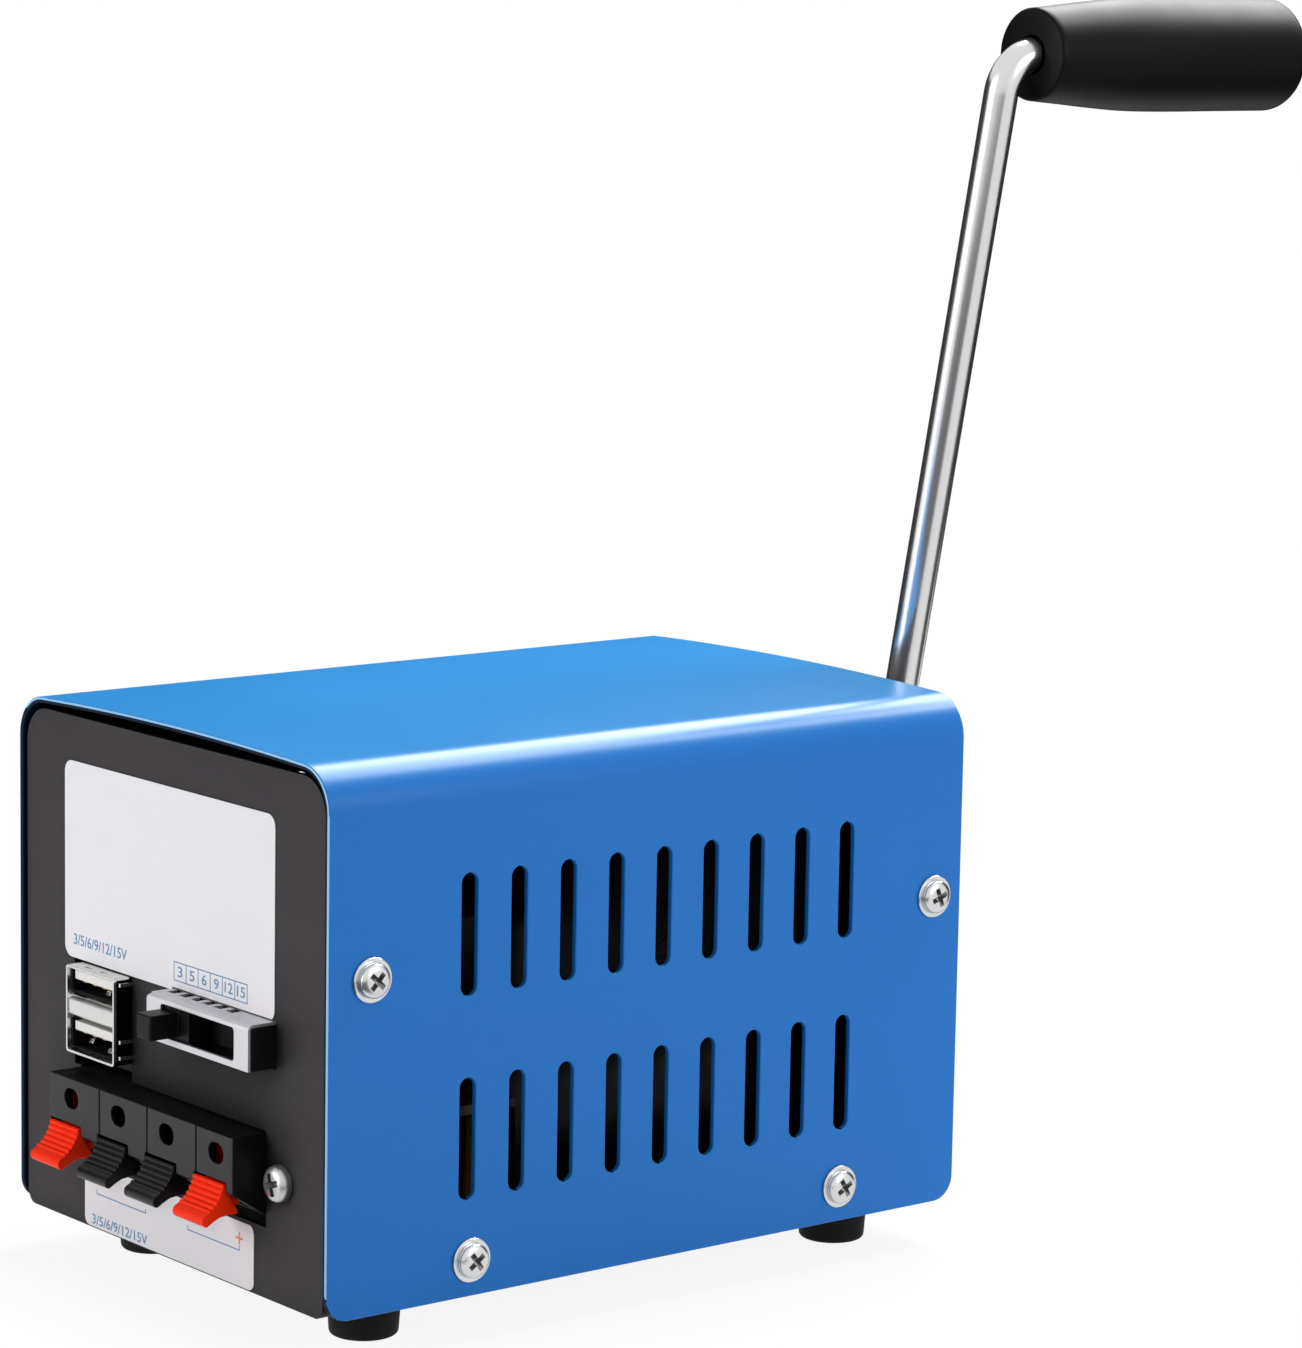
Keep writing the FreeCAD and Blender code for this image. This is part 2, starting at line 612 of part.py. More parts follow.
HOUSING_BACK_Y = -50.0
POCKET_BACK_Y = -56.0
CHAMBER_FRONT_Y = -68.0
LEAD_IN_SHIFT = 0.9             # the wire holes widen to the left at the front face
pocket_half = LEVER_WIDTH / 2 + 0.25
TRUNNION_LENGTH = 0.4
GROOVE_OFFSET = 10.0
housing = profile_x(
    at_base([
        (TERMINAL_FACE_Y, TERMINAL_TOP), (TERMINAL_FACE_Y, 17.3), (-68.4, 16.8), (-63.0, 13.2),
        (HOUSING_BACK_Y, 13.2), (HOUSING_BACK_Y, TERMINAL_TOP),
    ]),
    TERMINAL_LEFT, TERMINAL_RIGHT,
)
ears = box(-33.8, 35.0, -PANEL_Y + SHEET, -59.5, BASE + 14.0, BASE + 23.8)
ears = ears.cut(box(TERMINAL_LEFT, TERMINAL_RIGHT, -70, -50, BASE + 10, BASE + 30))
housing = housing.fuse(ears).removeSplitter()
lever_centres = [LEVER_FIRST_X + LEVER_PITCH * index for index in range(4)]
pivot_y, pivot_height = LEVER_PIVOT
pivot_z = BASE + pivot_height
TRUNNION_RADIUS = 1.0
for x in lever_centres:
    x0, x1 = x - pocket_half, x + pocket_half
    mouth = profile_x(
        at_base([(-70, 18.8), (POCKET_BACK_Y, 18.8), (POCKET_BACK_Y, 14.6), (-63.5, 14.6), (-66.6, 12), (-70, 12)]),
        x0, x1,
    )
    chamber = box(x0, x1, CHAMBER_FRONT_Y, POCKET_BACK_Y, BASE + 18.7, BASE + 24.8)
    hole_x = x + WIRE_HOLE_OFFSET
    hole_z = BASE + WIRE_HOLE_HEIGHT
    wire_hole = round_y(hole_x, hole_z, -70, CHAMBER_FRONT_Y + 0.5, WIRE_HOLE_RADIUS)
    lead_in = fuse([
        wire_hole.common(box(x0, x1, -70, TERMINAL_FACE_Y + 0.3, hole_z - 3, hole_z + 3)),
        round_y(hole_x - LEAD_IN_SHIFT, hole_z, -70, TERMINAL_FACE_Y + 0.3, WIRE_HOLE_RADIUS),
        box(
            hole_x - LEAD_IN_SHIFT, hole_x, -70, TERMINAL_FACE_Y + 0.3, hole_z - WIRE_HOLE_RADIUS,
            hole_z + WIRE_HOLE_RADIUS,
        ),
    ])
    seat = LEVER_WIDTH / 2 + TRUNNION_LENGTH + 0.1
    trunnion_hole = round_x(pivot_y, pivot_z, x - seat, x + seat, TRUNNION_RADIUS + 0.06)
    tag_slot = box(x - 1.6, x + 1.6, -57.0, -49.0, BASE + 20.9, BASE + 21.9)
    housing = housing.cut(fuse([mouth, chamber]))
    housing = housing.cut(wire_hole).cut(lead_in).cut(trunnion_hole).cut(tag_slot)
for x in [centre + GROOVE_OFFSET for centre in lever_centres[:3]]:
    groove = box(x - 0.15, x + 0.15, TERMINAL_FACE_Y - 1, TERMINAL_FACE_Y + 0.25, BASE + 16, BASE + 27)
    housing = housing.cut(groove)
for x in TERMINAL_SCREW_X:
    housing = housing.cut(round_y(x, BASE + TERMINAL_SCREW_HEIGHT, -65, -55, M3_TAPPED))
save("terminal_housing", housing)

# The finger tab is a wedge whose front runs down in a hollow curve of small ribs to a
# smooth lip.  A narrower web carries it to the pivot, and a finger stands beside the wire.
tab_front = [
    (-69.2, 18.45), (-69.4, 17.6), (-69.7, 16.75), (-70.15, 16.0), (-70.7, 15.3), (-71.35, 14.7), (-72.1, 14.3),
]
ribbed = []
for first, second in zip(tab_front[:-1], tab_front[1:]):
    run = V(second[0] - first[0], second[1] - first[1], 0)
    across_run = V(run.y, -run.x, 0).normalize()
    for share, height in ((0.0, 0.0), (0.18, 0.2), (0.55, 0.2), (0.75, 0.0)):
        ribbed.append((
            first[0] + run.x * share + across_run.x * height,
            first[1] + run.y * share + across_run.y * height,
        ))
tab_outline = [(-68.75, 18.45)] + ribbed + [
    (-72.2, 14.3), (-72.9, 13.85), (LEVER_TIP_Y, 13.25), (-72.9, 12.6), (-72.2, 12.25), (-70.0, 13.4),
    (-68.6, 13.6), (-66.8, 13.6), (-66.7, 14.1), (-67.7, 15.6), (-68.5, 17.2),
]
web_outline = [
    (-68.9, 18.2), (-68.9, 14.0), (-67.0, 14.0), (-65.3, 15.1), (-63.4, 15.6), (-62.9, 16.6), (-62.9, 18.2),
]
finger_outline = [(-65.95, 17.5), (-62.9, 17.5), (-62.9, 23.8), (-65.95, 23.8)]
WEB_HALF_WIDTH = 3.0
lever_names = ("terminal_lever_1_red", "terminal_lever_2_black", "terminal_lever_3_black", "terminal_lever_4_red")
for name, x in zip(lever_names, lever_centres):
    tab = profile_x(at_base(tab_outline), x - LEVER_WIDTH / 2, x + LEVER_WIDTH / 2)
    web = profile_x(at_base(web_outline), x - WEB_HALF_WIDTH, x + WEB_HALF_WIDTH)
    finger = profile_x(at_base(finger_outline), x - WEB_HALF_WIDTH, x + 0.2)
    trunnion_half = LEVER_WIDTH / 2 + TRUNNION_LENGTH
    trunnion = round_x(pivot_y, pivot_z, x - trunnion_half, x + trunnion_half, TRUNNION_RADIUS)
    save(name, fuse([tab, web, finger, trunnion]))

terminal_contacts = []
for x in lever_centres:
    leaf = profile_x(
        at_base([(-60.6, 24.8), (-56.3, 24.8), (-56.3, 24.4), (-60.3, 24.4), (-61.9, 18.2), (-62.2, 18.3)]),
        x - 2.6, x + 2.6,
    )
    terminal_contacts.append(leaf)
    plate = box(x - 3.0, x + 3.0, -56.6, POCKET_BACK_Y, BASE + 16.5, BASE + 23.5)
    strip = box(x - 1.5, x + 1.5, -56.3, -45.5, BASE + 21.0, BASE + 21.8)
    terminal_contacts.append(fuse([plate, strip]))
save("terminal_contacts", terminal_contacts)

terminal_screw = pan_screw(5.2, 3.0, 2.2)
terminal_screw_z = BASE + TERMINAL_SCREW_HEIGHT
save("terminal_screws", [
    placed(terminal_screw, V(x, -PANEL_Y, terminal_screw_z), V(0, -1, 0)) for x in TERMINAL_SCREW_X
])

# ---------------------------------------------------------- inside: the output board

board = box(-BOARD_HALF_WIDTH, BOARD_HALF_WIDTH, BOARD_FRONT_Y, BOARD_REAR_Y, BOARD_BOTTOM, BOARD_TOP)
board = board.cut(Part.makeCompound(pin_holes))
for x, y in standoffs:
    board = board.cut(round_z(x, y, BOARD_BOTTOM - 1, BOARD_TOP + 1, M3_CLEARANCE))
save("board", board)

board_standoffs = []
for x, y in standoffs:
    post = hex_prism_z(x, y, FLOOR_TOP, BOARD_BOTTOM, 5.5)
    board_standoffs.append(post.cut(round_z(x, y, 0, 50, M3_TAPPED)))
    inner_fasteners.append(placed(pan_screw(5.0), V(x, y, BOARD_TOP), V(0, 0, 1)))
    inner_fasteners.append(placed(pan_screw(5.0), V(x, y, BASE), V(0, 0, -1)))
save("board_standoffs", board_standoffs)

capacitors = []
for x, y, radius, height in ((-29.5, -38.0, 6.3, 25.0), (-15.5, -36.5, 5.0, 17.0), (-20.5, -27.5, 2.5, 11.0)):
    sleeve = round_z(x, y, BOARD_TOP, BOARD_TOP + height, radius)
    rims = [e for e in sleeve.Edges if len(e.Vertexes) == 1]
    capacitors.append(sleeve.makeFillet(0.5, rims))
save("capacitors", capacitors)

INDUCTOR = (0.0, -39.6)
core = round_z(*INDUCTOR, BOARD_TOP + 1.0, BOARD_TOP + 8.0, 9.0)
core = core.cut(round_z(*INDUCTOR, BOARD_TOP, BOARD_TOP + 9.0, 5.0))
save("inductor_core", core)
inductor_turns = []
TURN_COUNT = 16
for index in range(TURN_COUNT):
    turn = box(4.35, 9.65, -0.42, 0.42, BOARD_TOP + 0.35, BOARD_TOP + 8.65)
    turn = turn.cut(box(4.96, 9.02, -1.0, 1.0, BOARD_TOP + 1.0, BOARD_TOP + 8.0))
    turn.rotate(V(0, 0, 0), V(0, 0, 1), 360.0 * index / TURN_COUNT)
    turn.translate(V(INDUCTOR[0], INDUCTOR[1], 0))
    inductor_turns.append(turn)
save("inductor_winding", inductor_turns)

# Voltage regulator bolted to a finned aluminium heat sink.
SINK_X = 21.0
sink = box(SINK_X - 11, SINK_X + 11, -38.0, -35.8, BOARD_TOP, BOARD_TOP + 28)
FIN_PITCH = 5.1
fins = []
for place in (-2, -1, 0, 1, 2):
    x = SINK_X + FIN_PITCH * place
    fins.append(box(x - 0.6, x + 0.6, -35.9, -27.5, BOARD_TOP, BOARD_TOP + 28))
heat_sink = fuse([sink] + fins)
tab_hole_z = BOARD_TOP + 18.5
heat_sink = heat_sink.cut(round_y(SINK_X, tab_hole_z, -40, -35, M3_TAPPED))
save("heat_sink", heat_sink)
package = box(SINK_X - 5.1, SINK_X + 5.1, -42.4, -38.0, BOARD_TOP + 3.5, BOARD_TOP + 12.8)
metal_tab = box(SINK_X - 5.1, SINK_X + 5.1, -39.3, -38.0, BOARD_TOP + 12.8, BOARD_TOP + 21.5)
regulator = fuse([package, metal_tab]).cut(round_y(SINK_X, tab_hole_z, -41, -37, M3_CLEARANCE))
LEG_PITCH = 2.54
legs = []
for place in (-1, 0, 1):
    x = SINK_X + LEG_PITCH * place
    legs.append(box(x - 0.4, x + 0.4, -40.6, -40.1, BOARD_TOP, BOARD_TOP + 3.6))
save("regulator", fuse([regulator] + legs))
inner_fasteners.append(placed(pan_screw(3.4), V(SINK_X, -39.3, tab_hole_z), V(0, -1, 0)))
rectifier = box(-6.5, 8.5, -28.9, -25.2, BOARD_TOP + 1.5, BOARD_TOP + 12.0)
rectifier_legs = [box(x - 0.4, x + 0.4, -27.4, -26.7, BOARD_TOP, BOARD_TOP + 1.6) for x in (-4.5, -0.7, 3.1, 6.9)]
save("rectifier", fuse([rectifier] + rectifier_legs))

# ------------------------------------------------------------- inside: the gearbox

def bearing_hole(x, z, radius):
    return round_y(x, z, FRONT_PLATE_Y - 1, REAR_PLATE_Y + 3, radius)


LAY_BUSH_RADIUS = 3.5
LAY_SHAFT_RADIUS = 2.0
CAN_BOSS_RADIUS = 6.5
mount_direction = STAGE_DIRECTIONS[2] + 90
can_screws = [step_from(AXIS_ROTOR, 12.5, mount_direction + turn) for turn in (0, 180)]


def gearbox_plate(y0):
    plate = rounded_panel(
        -PLATE_HALF_WIDTH, PLATE_HALF_WIDTH, y0, y0 + PLATE_THICKNESS, PLATE_BOTTOM, PLATE_TOP, 2.5, 4.0
    )
    plate = plate.cut(bearing_hole(*AXIS_CRANK, BUSH_RADIUS))
    plate = plate.cut(bearing_hole(*AXIS_FIRST, LAY_BUSH_RADIUS))
    plate = plate.cut(bearing_hole(*AXIS_SECOND, LAY_BUSH_RADIUS))
    for x, z in POST_POSITIONS:
        plate = plate.cut(bearing_hole(x, z, M3_CLEARANCE))
    return plate


front_plate = gearbox_plate(FRONT_PLATE_Y)
front_plate = front_plate.cut(bearing_hole(*AXIS_ROTOR, CAN_BOSS_RADIUS + 0.1))
for x, z in can_screws:
    front_plate = front_plate.cut(bearing_hole(x, z, M3_CLEARANCE))
save("gearbox_front_plate", front_plate)
save("gearbox_rear_plate", gearbox_plate(REAR_PLATE_Y))

post_y0 = FRONT_PLATE_Y + PLATE_THICKNESS
posts = []
gearbox_screws = []
for x, z in POST_POSITIONS:
    posts.append(tube_y(x, z, post_y0, REAR_PLATE_Y, POST_RADIUS, M3_TAPPED))
    gearbox_screws.append(placed(pan_screw(8.0), V(x, FRONT_PLATE_Y, z), V(0, -1, 0)))
    gearbox_screws.append(placed(pan_screw(9.0), V(x, PANEL_Y, z), V(0, 1, 0)))
save("gearbox_posts", posts)
save("gearbox_screws", gearbox_screws)

RUNNING_FIT = 0.03
rear_bush = fuse([
    round_y(*AXIS_CRANK, REAR_PLATE_Y - 0.2, PANEL_Y, BUSH_RADIUS),
    round_y(*AXIS_CRANK, PANEL_Y, PANEL_Y + 1.2, 8.0),
]).cut(bearing_hole(*AXIS_CRANK, CRANK_SHAFT_RADIUS + RUNNING_FIT).fuse(
    round_y(*AXIS_CRANK, PANEL_Y - 2, PANEL_Y + 3, CRANK_SHAFT_RADIUS + RUNNING_FIT)))
front_bush = fuse([
    round_y(*AXIS_CRANK, FRONT_PLATE_Y, post_y0, BUSH_RADIUS),
    round_y(*AXIS_CRANK, post_y0, post_y0 + 1.2, 8.0),
]).cut(bearing_hole(*AXIS_CRANK, CRANK_SHAFT_RADIUS + RUNNING_FIT))

bushes = [rear_bush, front_bush]
for axis in (AXIS_FIRST, AXIS_SECOND):
    bore = bearing_hole(*axis, LAY_SHAFT_RADIUS + RUNNING_FIT)
    front = fuse([
        round_y(*axis, FRONT_PLATE_Y, post_y0, LAY_BUSH_RADIUS),
        round_y(*axis, post_y0, post_y0 + 0.8, 4.5),
    ])
    rear = fuse([
        round_y(*axis, REAR_PLATE_Y, REAR_PLATE_Y + PLATE_THICKNESS, LAY_BUSH_RADIUS),
        round_y(*axis, REAR_PLATE_Y - 0.8, REAR_PLATE_Y, 4.5),
    ])
    bushes.append(front.cut(bore))
    bushes.append(rear.cut(bore))

PRESS = 0.01
# crank shaft with the large drive gear, whose hub is pinned through the shaft
SHAFT_START_Y = FRONT_PLATE_Y - 0.2
SHAFT_END_Y = 68.6
PIN_Y = 48.6
shaft = round_y(*AXIS_CRANK, SHAFT_START_Y, SHAFT_END_Y, CRANK_SHAFT_RADIUS)
pin_bore = Part.makeCylinder(1.0, 16.0, V(0, PIN_Y, SHAFT_HEIGHT - 8.0), V(0, 0, 1))
shaft = shaft.cut(pin_bore)
save("crank_shaft", turned(shaft, CRANK_LEAN, *AXIS_CRANK))

drive_gear = spur_gear(
    STAGE_MODULES[0], STAGE_WHEELS[0], *AXIS_CRANK, 51.5, 57.5, wheel_angle(0), CRANK_SHAFT_RADIUS + PRESS
)
drive_hub = tube_y(*AXIS_CRANK, 45.5, 51.5, 7.0, CRANK_SHAFT_RADIUS + PRESS)
rear_hub = tube_y(*AXIS_CRANK, 57.5, REAR_PLATE_Y - 0.4, 7.0, CRANK_SHAFT_RADIUS + PRESS)
web_pocket = tube_y(*AXIS_CRANK, 55.5, 58.0, 19.5, 9.5)
drive_gear = drive_gear.cut(web_pocket).fuse([drive_hub, rear_hub]).removeSplitter()
for index in range(5):
    x, z = step_from(AXIS_CRANK, 14.5, 72 * index + 15)
    drive_gear = drive_gear.cut(round_y(x, z, 50, 60, 3.4))
drive_gear = drive_gear.cut(turned(pin_bore, CRANK_LEAN, *AXIS_CRANK))
save("drive_gear", drive_gear)
pin = Part.makeCylinder(0.98, 13.8, V(0, PIN_Y, SHAFT_HEIGHT - 6.9), V(0, 0, 1))
crank_fixings = [turned(pin, CRANK_LEAN, *AXIS_CRANK)]

# Two layshafts.  Each is cut in one piece with its pinion and has a wheel pressed on.
def pinion_shaft(module, axis, y0, y1, tooth_angle, collars):
    pinion = spur_gear(module, PINION_TEETH, *axis, y0, y1, tooth_angle, LAY_SHAFT_RADIUS - 1.0)
    shaft_rod = round_y(*axis, FRONT_PLATE_Y + 0.1, REAR_PLATE_Y + 1.8, LAY_SHAFT_RADIUS)
    collar_rods = [round_y(*axis, start, end, radius) for start, end, radius in collars]
    return shaft_rod.fuse([pinion] + collar_rods).removeSplitter()


lay_bore = LAY_SHAFT_RADIUS + PRESS
save("pinion_shaft_1", pinion_shaft(STAGE_MODULES[0], AXIS_FIRST, 51.0, 58.9, pinion_angle(0), []))
save("pinion_shaft_2", pinion_shaft(
    STAGE_MODULES[1], AXIS_SECOND, 43.5, 49.5, pinion_angle(1), [(49.5, 58.9, 2.9)]
))
wheel_1 = spur_gear(STAGE_MODULES[1], STAGE_WHEELS[1], *AXIS_FIRST, 44.5, 48.5, wheel_angle(1), lay_bore)
wheel_1_hub = fuse([
    tube_y(*AXIS_FIRST, 37.1, 44.5, 4.2, lay_bore),
    tube_y(*AXIS_FIRST, 48.5, 51.0, 4.2, lay_bore),
])
save("wheel_1", wheel_1.fuse(wheel_1_hub.Solids).removeSplitter())
wheel_2 = spur_gear(STAGE_MODULES[2], STAGE_WHEELS[2], *AXIS_SECOND, 39.0, 42.5, wheel_angle(2), lay_bore)
wheel_2_hub = [
    tube_y(*AXIS_SECOND, 37.1, 39.0, 3.6, lay_bore),
    tube_y(*AXIS_SECOND, 42.5, 43.5, 3.6, lay_bore),
]
save("wheel_2", wheel_2.fuse(wheel_2_hub).removeSplitter())

# ------------------------------------------------------------ inside: the generator

rx, rz = AXIS_ROTOR
BEARING_RADIUS = 4.0
can = round_y(rx, rz, CAN_FRONT_Y, FRONT_PLATE_Y, CAN_RADIUS)
can = can.fuse(round_y(rx, rz, FRONT_PLATE_Y, FRONT_PLATE_Y + 1.9, CAN_BOSS_RADIUS)).removeSplitter()
can = can.cut(round_y(rx, rz, CAN_FRONT_Y - 1, FRONT_PLATE_Y - CAN_WALL, CAN_RADIUS - CAN_WALL))
can = can.cut(round_y(rx, rz, 0, 40, BEARING_RADIUS))
for x, z in can_screws:
    can = can.cut(round_y(x, z, 30, 40, M3_TAPPED))
save("generator_can", can)

inner_fasteners += [placed(pan_screw(5.2), V(x, post_y0, z), V(0, 1, 0)) for x, z in can_screws]
save("inner_fasteners", inner_fasteners)

magnets = []
for middle in (90.0, 270.0):
    ring = tube_y(rx, rz, -8.0, 26.0, CAN_RADIUS - CAN_WALL, 14.2)
    wedge_points = [(rx, rz)]
    for spread in (-62, -31, 0, 31, 62):
        wedge_points.append(step_from((rx, rz), 30.0, middle + spread))
    magnets.append(ring.common(profile_y(wedge_points, -9.0, 27.0)))
save("magnets", magnets)

end_cap = fuse([
    round_y(rx, rz, CAN_FRONT_Y - 2.6, CAN_FRONT_Y, CAN_RADIUS),
    round_y(rx, rz, CAN_FRONT_Y - 4.6, CAN_FRONT_Y - 2.6, 6.0),
])
end_cap = end_cap.cut(round_y(rx, rz, -30, -10, BEARING_RADIUS))
bushes += [
    tube_y(rx, rz, FRONT_PLATE_Y - 2.2, FRONT_PLATE_Y + 1.9, BEARING_RADIUS, ROTOR_SHAFT_RADIUS + RUNNING_FIT),
    tube_y(rx, rz, CAN_FRONT_Y - 4.4, CAN_FRONT_Y, BEARING_RADIUS, ROTOR_SHAFT_RADIUS + RUNNING_FIT),
]
save("bearing_bushes", bushes)

save("rotor_shaft", round_y(rx, rz, CAN_FRONT_Y - 4.9, 43.6, ROTOR_SHAFT_RADIUS))
save("rotor_pinion", spur_gear(
    STAGE_MODULES[2], PINION_TEETH, rx, rz, 38.4, 43.4, pinion_angle(2), ROTOR_SHAFT_RADIUS + PRESS
))
armature = tube_y(rx, rz, -4.0, 22.0, ROTOR_RADIUS, ROTOR_SHAFT_RADIUS + PRESS)
coils = []
for index in range(POLE_COUNT):
    angle = 360.0 / POLE_COUNT * index
    gap = box(rx + 5.0, rx + 11.0, -5.0, 23.0, rz - 3.0, rz + 3.0)
    mouth = box(rx + 10.0, rx + 15.0, -5.0, 23.0, rz - 0.9, rz + 0.9)
    armature = armature.cut(turned(fuse([gap, mouth]), angle, rx, rz))
    bundle = box(rx + 5.3, rx + 10.7, -9.0, 27.0, rz - 2.7, rz + 2.7)
    coils.append(turned(bundle, angle, rx, rz))
for y0, y1 in ((-9.0, -4.0), (22.0, 27.0)):
    coils.append(tube_y(rx, rz, y0, y1, 11.2, 4.2))
save("armature_core", armature)
save("armature_winding", fuse(coils))
commutator = tube_y(rx, rz, -14.5, -9.2, 4.4, ROTOR_SHAFT_RADIUS + PRESS)
for index in range(POLE_COUNT):
    groove = box(rx + 3.7, rx + 5.0, -16, -10.0, rz - 0.25, rz + 0.25)
    commutator = commutator.cut(turned(groove, 360.0 / POLE_COUNT * (index + 0.5), rx, rz))
save("commutator", commutator)

# Each carbon brush slides in a box on the end cap, and a brass tag brings it outside.
brushes = []
brush_tags = []
for side in (-1, 1):
    near, far = rx + side * 4.7, rx + side * 9.5
    x0, x1 = min(near, far), max(near, far)
    brushes.append(box(x0, x1, -13.4, -10.6, rz - 1.5, rz + 1.5))
    near, far = rx + side * 6.6, rx + side * 11.0
    x0, x1 = min(near, far), max(near, far)
    holder = box(x0, x1, CAN_FRONT_Y, -9.8, rz - 2.5, rz + 2.5)
    holder = holder.cut(box(x0 - 1, x1 + 1, -13.45, -10.55, rz - 1.55, rz + 1.55))
    end_cap = end_cap.fuse(holder)
    near, far = rx + side * 11.2, rx + side * 11.7
    x0, x1 = min(near, far), max(near, far)
    brush_tags.append(box(x0, x1, CAN_FRONT_Y - 6.5, -10.0, rz - 1.4, rz + 1.4))
    end_cap = end_cap.cut(box(x0 - 0.05, x1 + 0.05, -20, -9, rz - 1.45, rz + 1.45))
save("generator_end_cap", end_cap.removeSplitter())
save("brushes", brushes)
save("brush_tags", brush_tags)

# ------------------------------------------------------------------ inside: the leads

LEAD_RADIUS = 0.8
lead_y = CAN_FRONT_Y - 5.6
leads = {}
for colour, side, far_x in (("red", 1, 18.5), ("black", -1, 13.0)):
    start_x = rx + side * 11.45
    route = [
        V(start_x, lead_y, rz + 1.4),
        V(start_x, lead_y, 42.5),
        V(far_x, -25.7, 42.5),
        V(far_x, -25.7, BOARD_TOP),
    ]
    leads[colour] = [bent_rod(route, (2.6, 2.6), LEAD_RADIUS)]

for colour, cells in (("red", (0, 3)), ("black", (1, 2))):
    for cell in cells:
        x = lever_centres[cell]
        tag_z = BASE + 21.0
        route = [
            V(x, -46.6, tag_z),
            V(x, -46.6, tag_z - 6.0),
            V(x, -40.5, tag_z - 6.0),
            V(x, -40.5, BOARD_BOTTOM),
        ]
        leads[colour].append(bent_rod(route, (2.6, 2.6), LEAD_RADIUS))
    save("leads_" + colour, leads[colour])

# ------------------------------------------------------------------------ the crank

rod_radius = ROD_DIAMETER / 2
HUB_START_Y = 64.5
HUB_END_Y = 75.2
ROD_START_Y = 69.0
ROD_END_Y = 139.6
top_z = SHAFT_HEIGHT + CRANK_LENGTH
arm = bent_rod(
    [
        V(0, ROD_START_Y, SHAFT_HEIGHT),
        V(0, ARM_Y, SHAFT_HEIGHT),
        V(0, ARM_Y, top_z),
        V(0, ROD_END_Y, top_z),
    ],
    (ROD_BEND, ROD_BEND),
    rod_radius,
)
save("crank_arm", turned(arm, CRANK_LEAN, *AXIS_CRANK))

HUB_RADIUS = 7.5
hub = round_y(*AXIS_CRANK, HUB_START_Y, HUB_END_Y, HUB_RADIUS)
rims = [e for e in hub.Edges if len(e.Vertexes) == 1]
hub = hub.makeChamfer(0.6, rims)
hub = hub.cut(round_y(*AXIS_CRANK, HUB_START_Y - 1, SHAFT_END_Y + 0.1, CRANK_SHAFT_RADIUS + PRESS))
hub = hub.cut(round_y(*AXIS_CRANK, SHAFT_END_Y, HUB_END_Y + 1, rod_radius + PRESS))
for y, inner in ((66.6, CRANK_SHAFT_RADIUS), (72.2, rod_radius)):
    hole = Part.makeCylinder(1.5, 10.0, V(0, y, SHAFT_HEIGHT - 10.0), V(0, 0, 1))
    hub = hub.cut(hole)
    grub = Part.makeCylinder(1.48, 3.2, V(0, y, SHAFT_HEIGHT - inner - 3.25), V(0, 0, 1))
    socket = hex_prism_z(0, y, SHAFT_HEIGHT - inner - 3.3, SHAFT_HEIGHT - inner - 1.8, 1.5)
    crank_fixings.append(turned(grub.cut(socket), CRANK_LEAN, *AXIS_CRANK))
save("crank_hub", turned(hub, CRANK_LEAN, *AXIS_CRANK))
save("crank_fixings", crank_fixings)

# The grip is a turned barrel that runs loosely on the end of the bent rod.
def grip_radius_curve():
    outer = [(GRIP_START_Y + 0.3, 7.75), (94.0, 8.3), (101.0, 8.95), (108.5, 9.5), (117.5, GRIP_RADIUS)]
    curve = Part.BSplineCurve()
    curve.interpolate([V(0, y, r) for y, r in outer])
    return curve.toShape()


grip_edges = [
    Part.makeLine(V(0, GRIP_START_Y, 0), V(0, GRIP_START_Y, 7.45)),
    Part.makeLine(V(0, GRIP_START_Y, 7.45), V(0, GRIP_START_Y + 0.3, 7.75)),
    grip_radius_curve(),
    Part.makeLine(V(0, 117.5, GRIP_RADIUS), V(0, GRIP_END_Y - 2.5, GRIP_RADIUS)),
    Part.Arc(
        V(0, GRIP_END_Y - 2.5, GRIP_RADIUS),
        V(0, GRIP_END_Y - 2.5 + 2.5 * math.sin(math.pi / 4), GRIP_RADIUS - 2.5 + 2.5 * math.cos(math.pi / 4)),
        V(0, GRIP_END_Y, GRIP_RADIUS - 2.5),
    ).toShape(),
    Part.makeLine(V(0, GRIP_END_Y, GRIP_RADIUS - 2.5), V(0, GRIP_END_Y, 0)),
    Part.makeLine(V(0, GRIP_END_Y, 0), V(0, GRIP_START_Y, 0)),
]
grip = Part.Face(Part.Wire(grip_edges)).revolve(V(0, 0, 0), V(0, 1, 0), 360)
RECESS_Y = 137.0
GRIP_BORE = rod_radius + 0.08
grip = grip.cut(round_y(0, 0, GRIP_START_Y - 1, RECESS_Y, GRIP_BORE))
mouth_cone = Part.makeCone(4.4, GRIP_BORE, 1.6, V(0, GRIP_START_Y, 0), V(0, 1, 0))
grip = grip.cut(mouth_cone)
grip = grip.cut(round_y(0, 0, RECESS_Y, GRIP_END_Y + 1, 5.5))
grip.translate(V(0, 0, top_z))
save("grip", turned(grip, CRANK_LEAN, *AXIS_CRANK))

cap = round_y(0, top_z, GRIP_END_Y - 2.2, GRIP_END_Y - 0.4, 5.5)
save("grip_cap", turned(cap, CRANK_LEAN, *AXIS_CRANK))
retainer = tube_y(0, top_z, RECESS_Y + 0.4, RECESS_Y + 1.6, 4.9, rod_radius + PRESS)
save("grip_retainer", turned(retainer, CRANK_LEAN, *AXIS_CRANK))

# -------------------------------------------------------------------------- summary

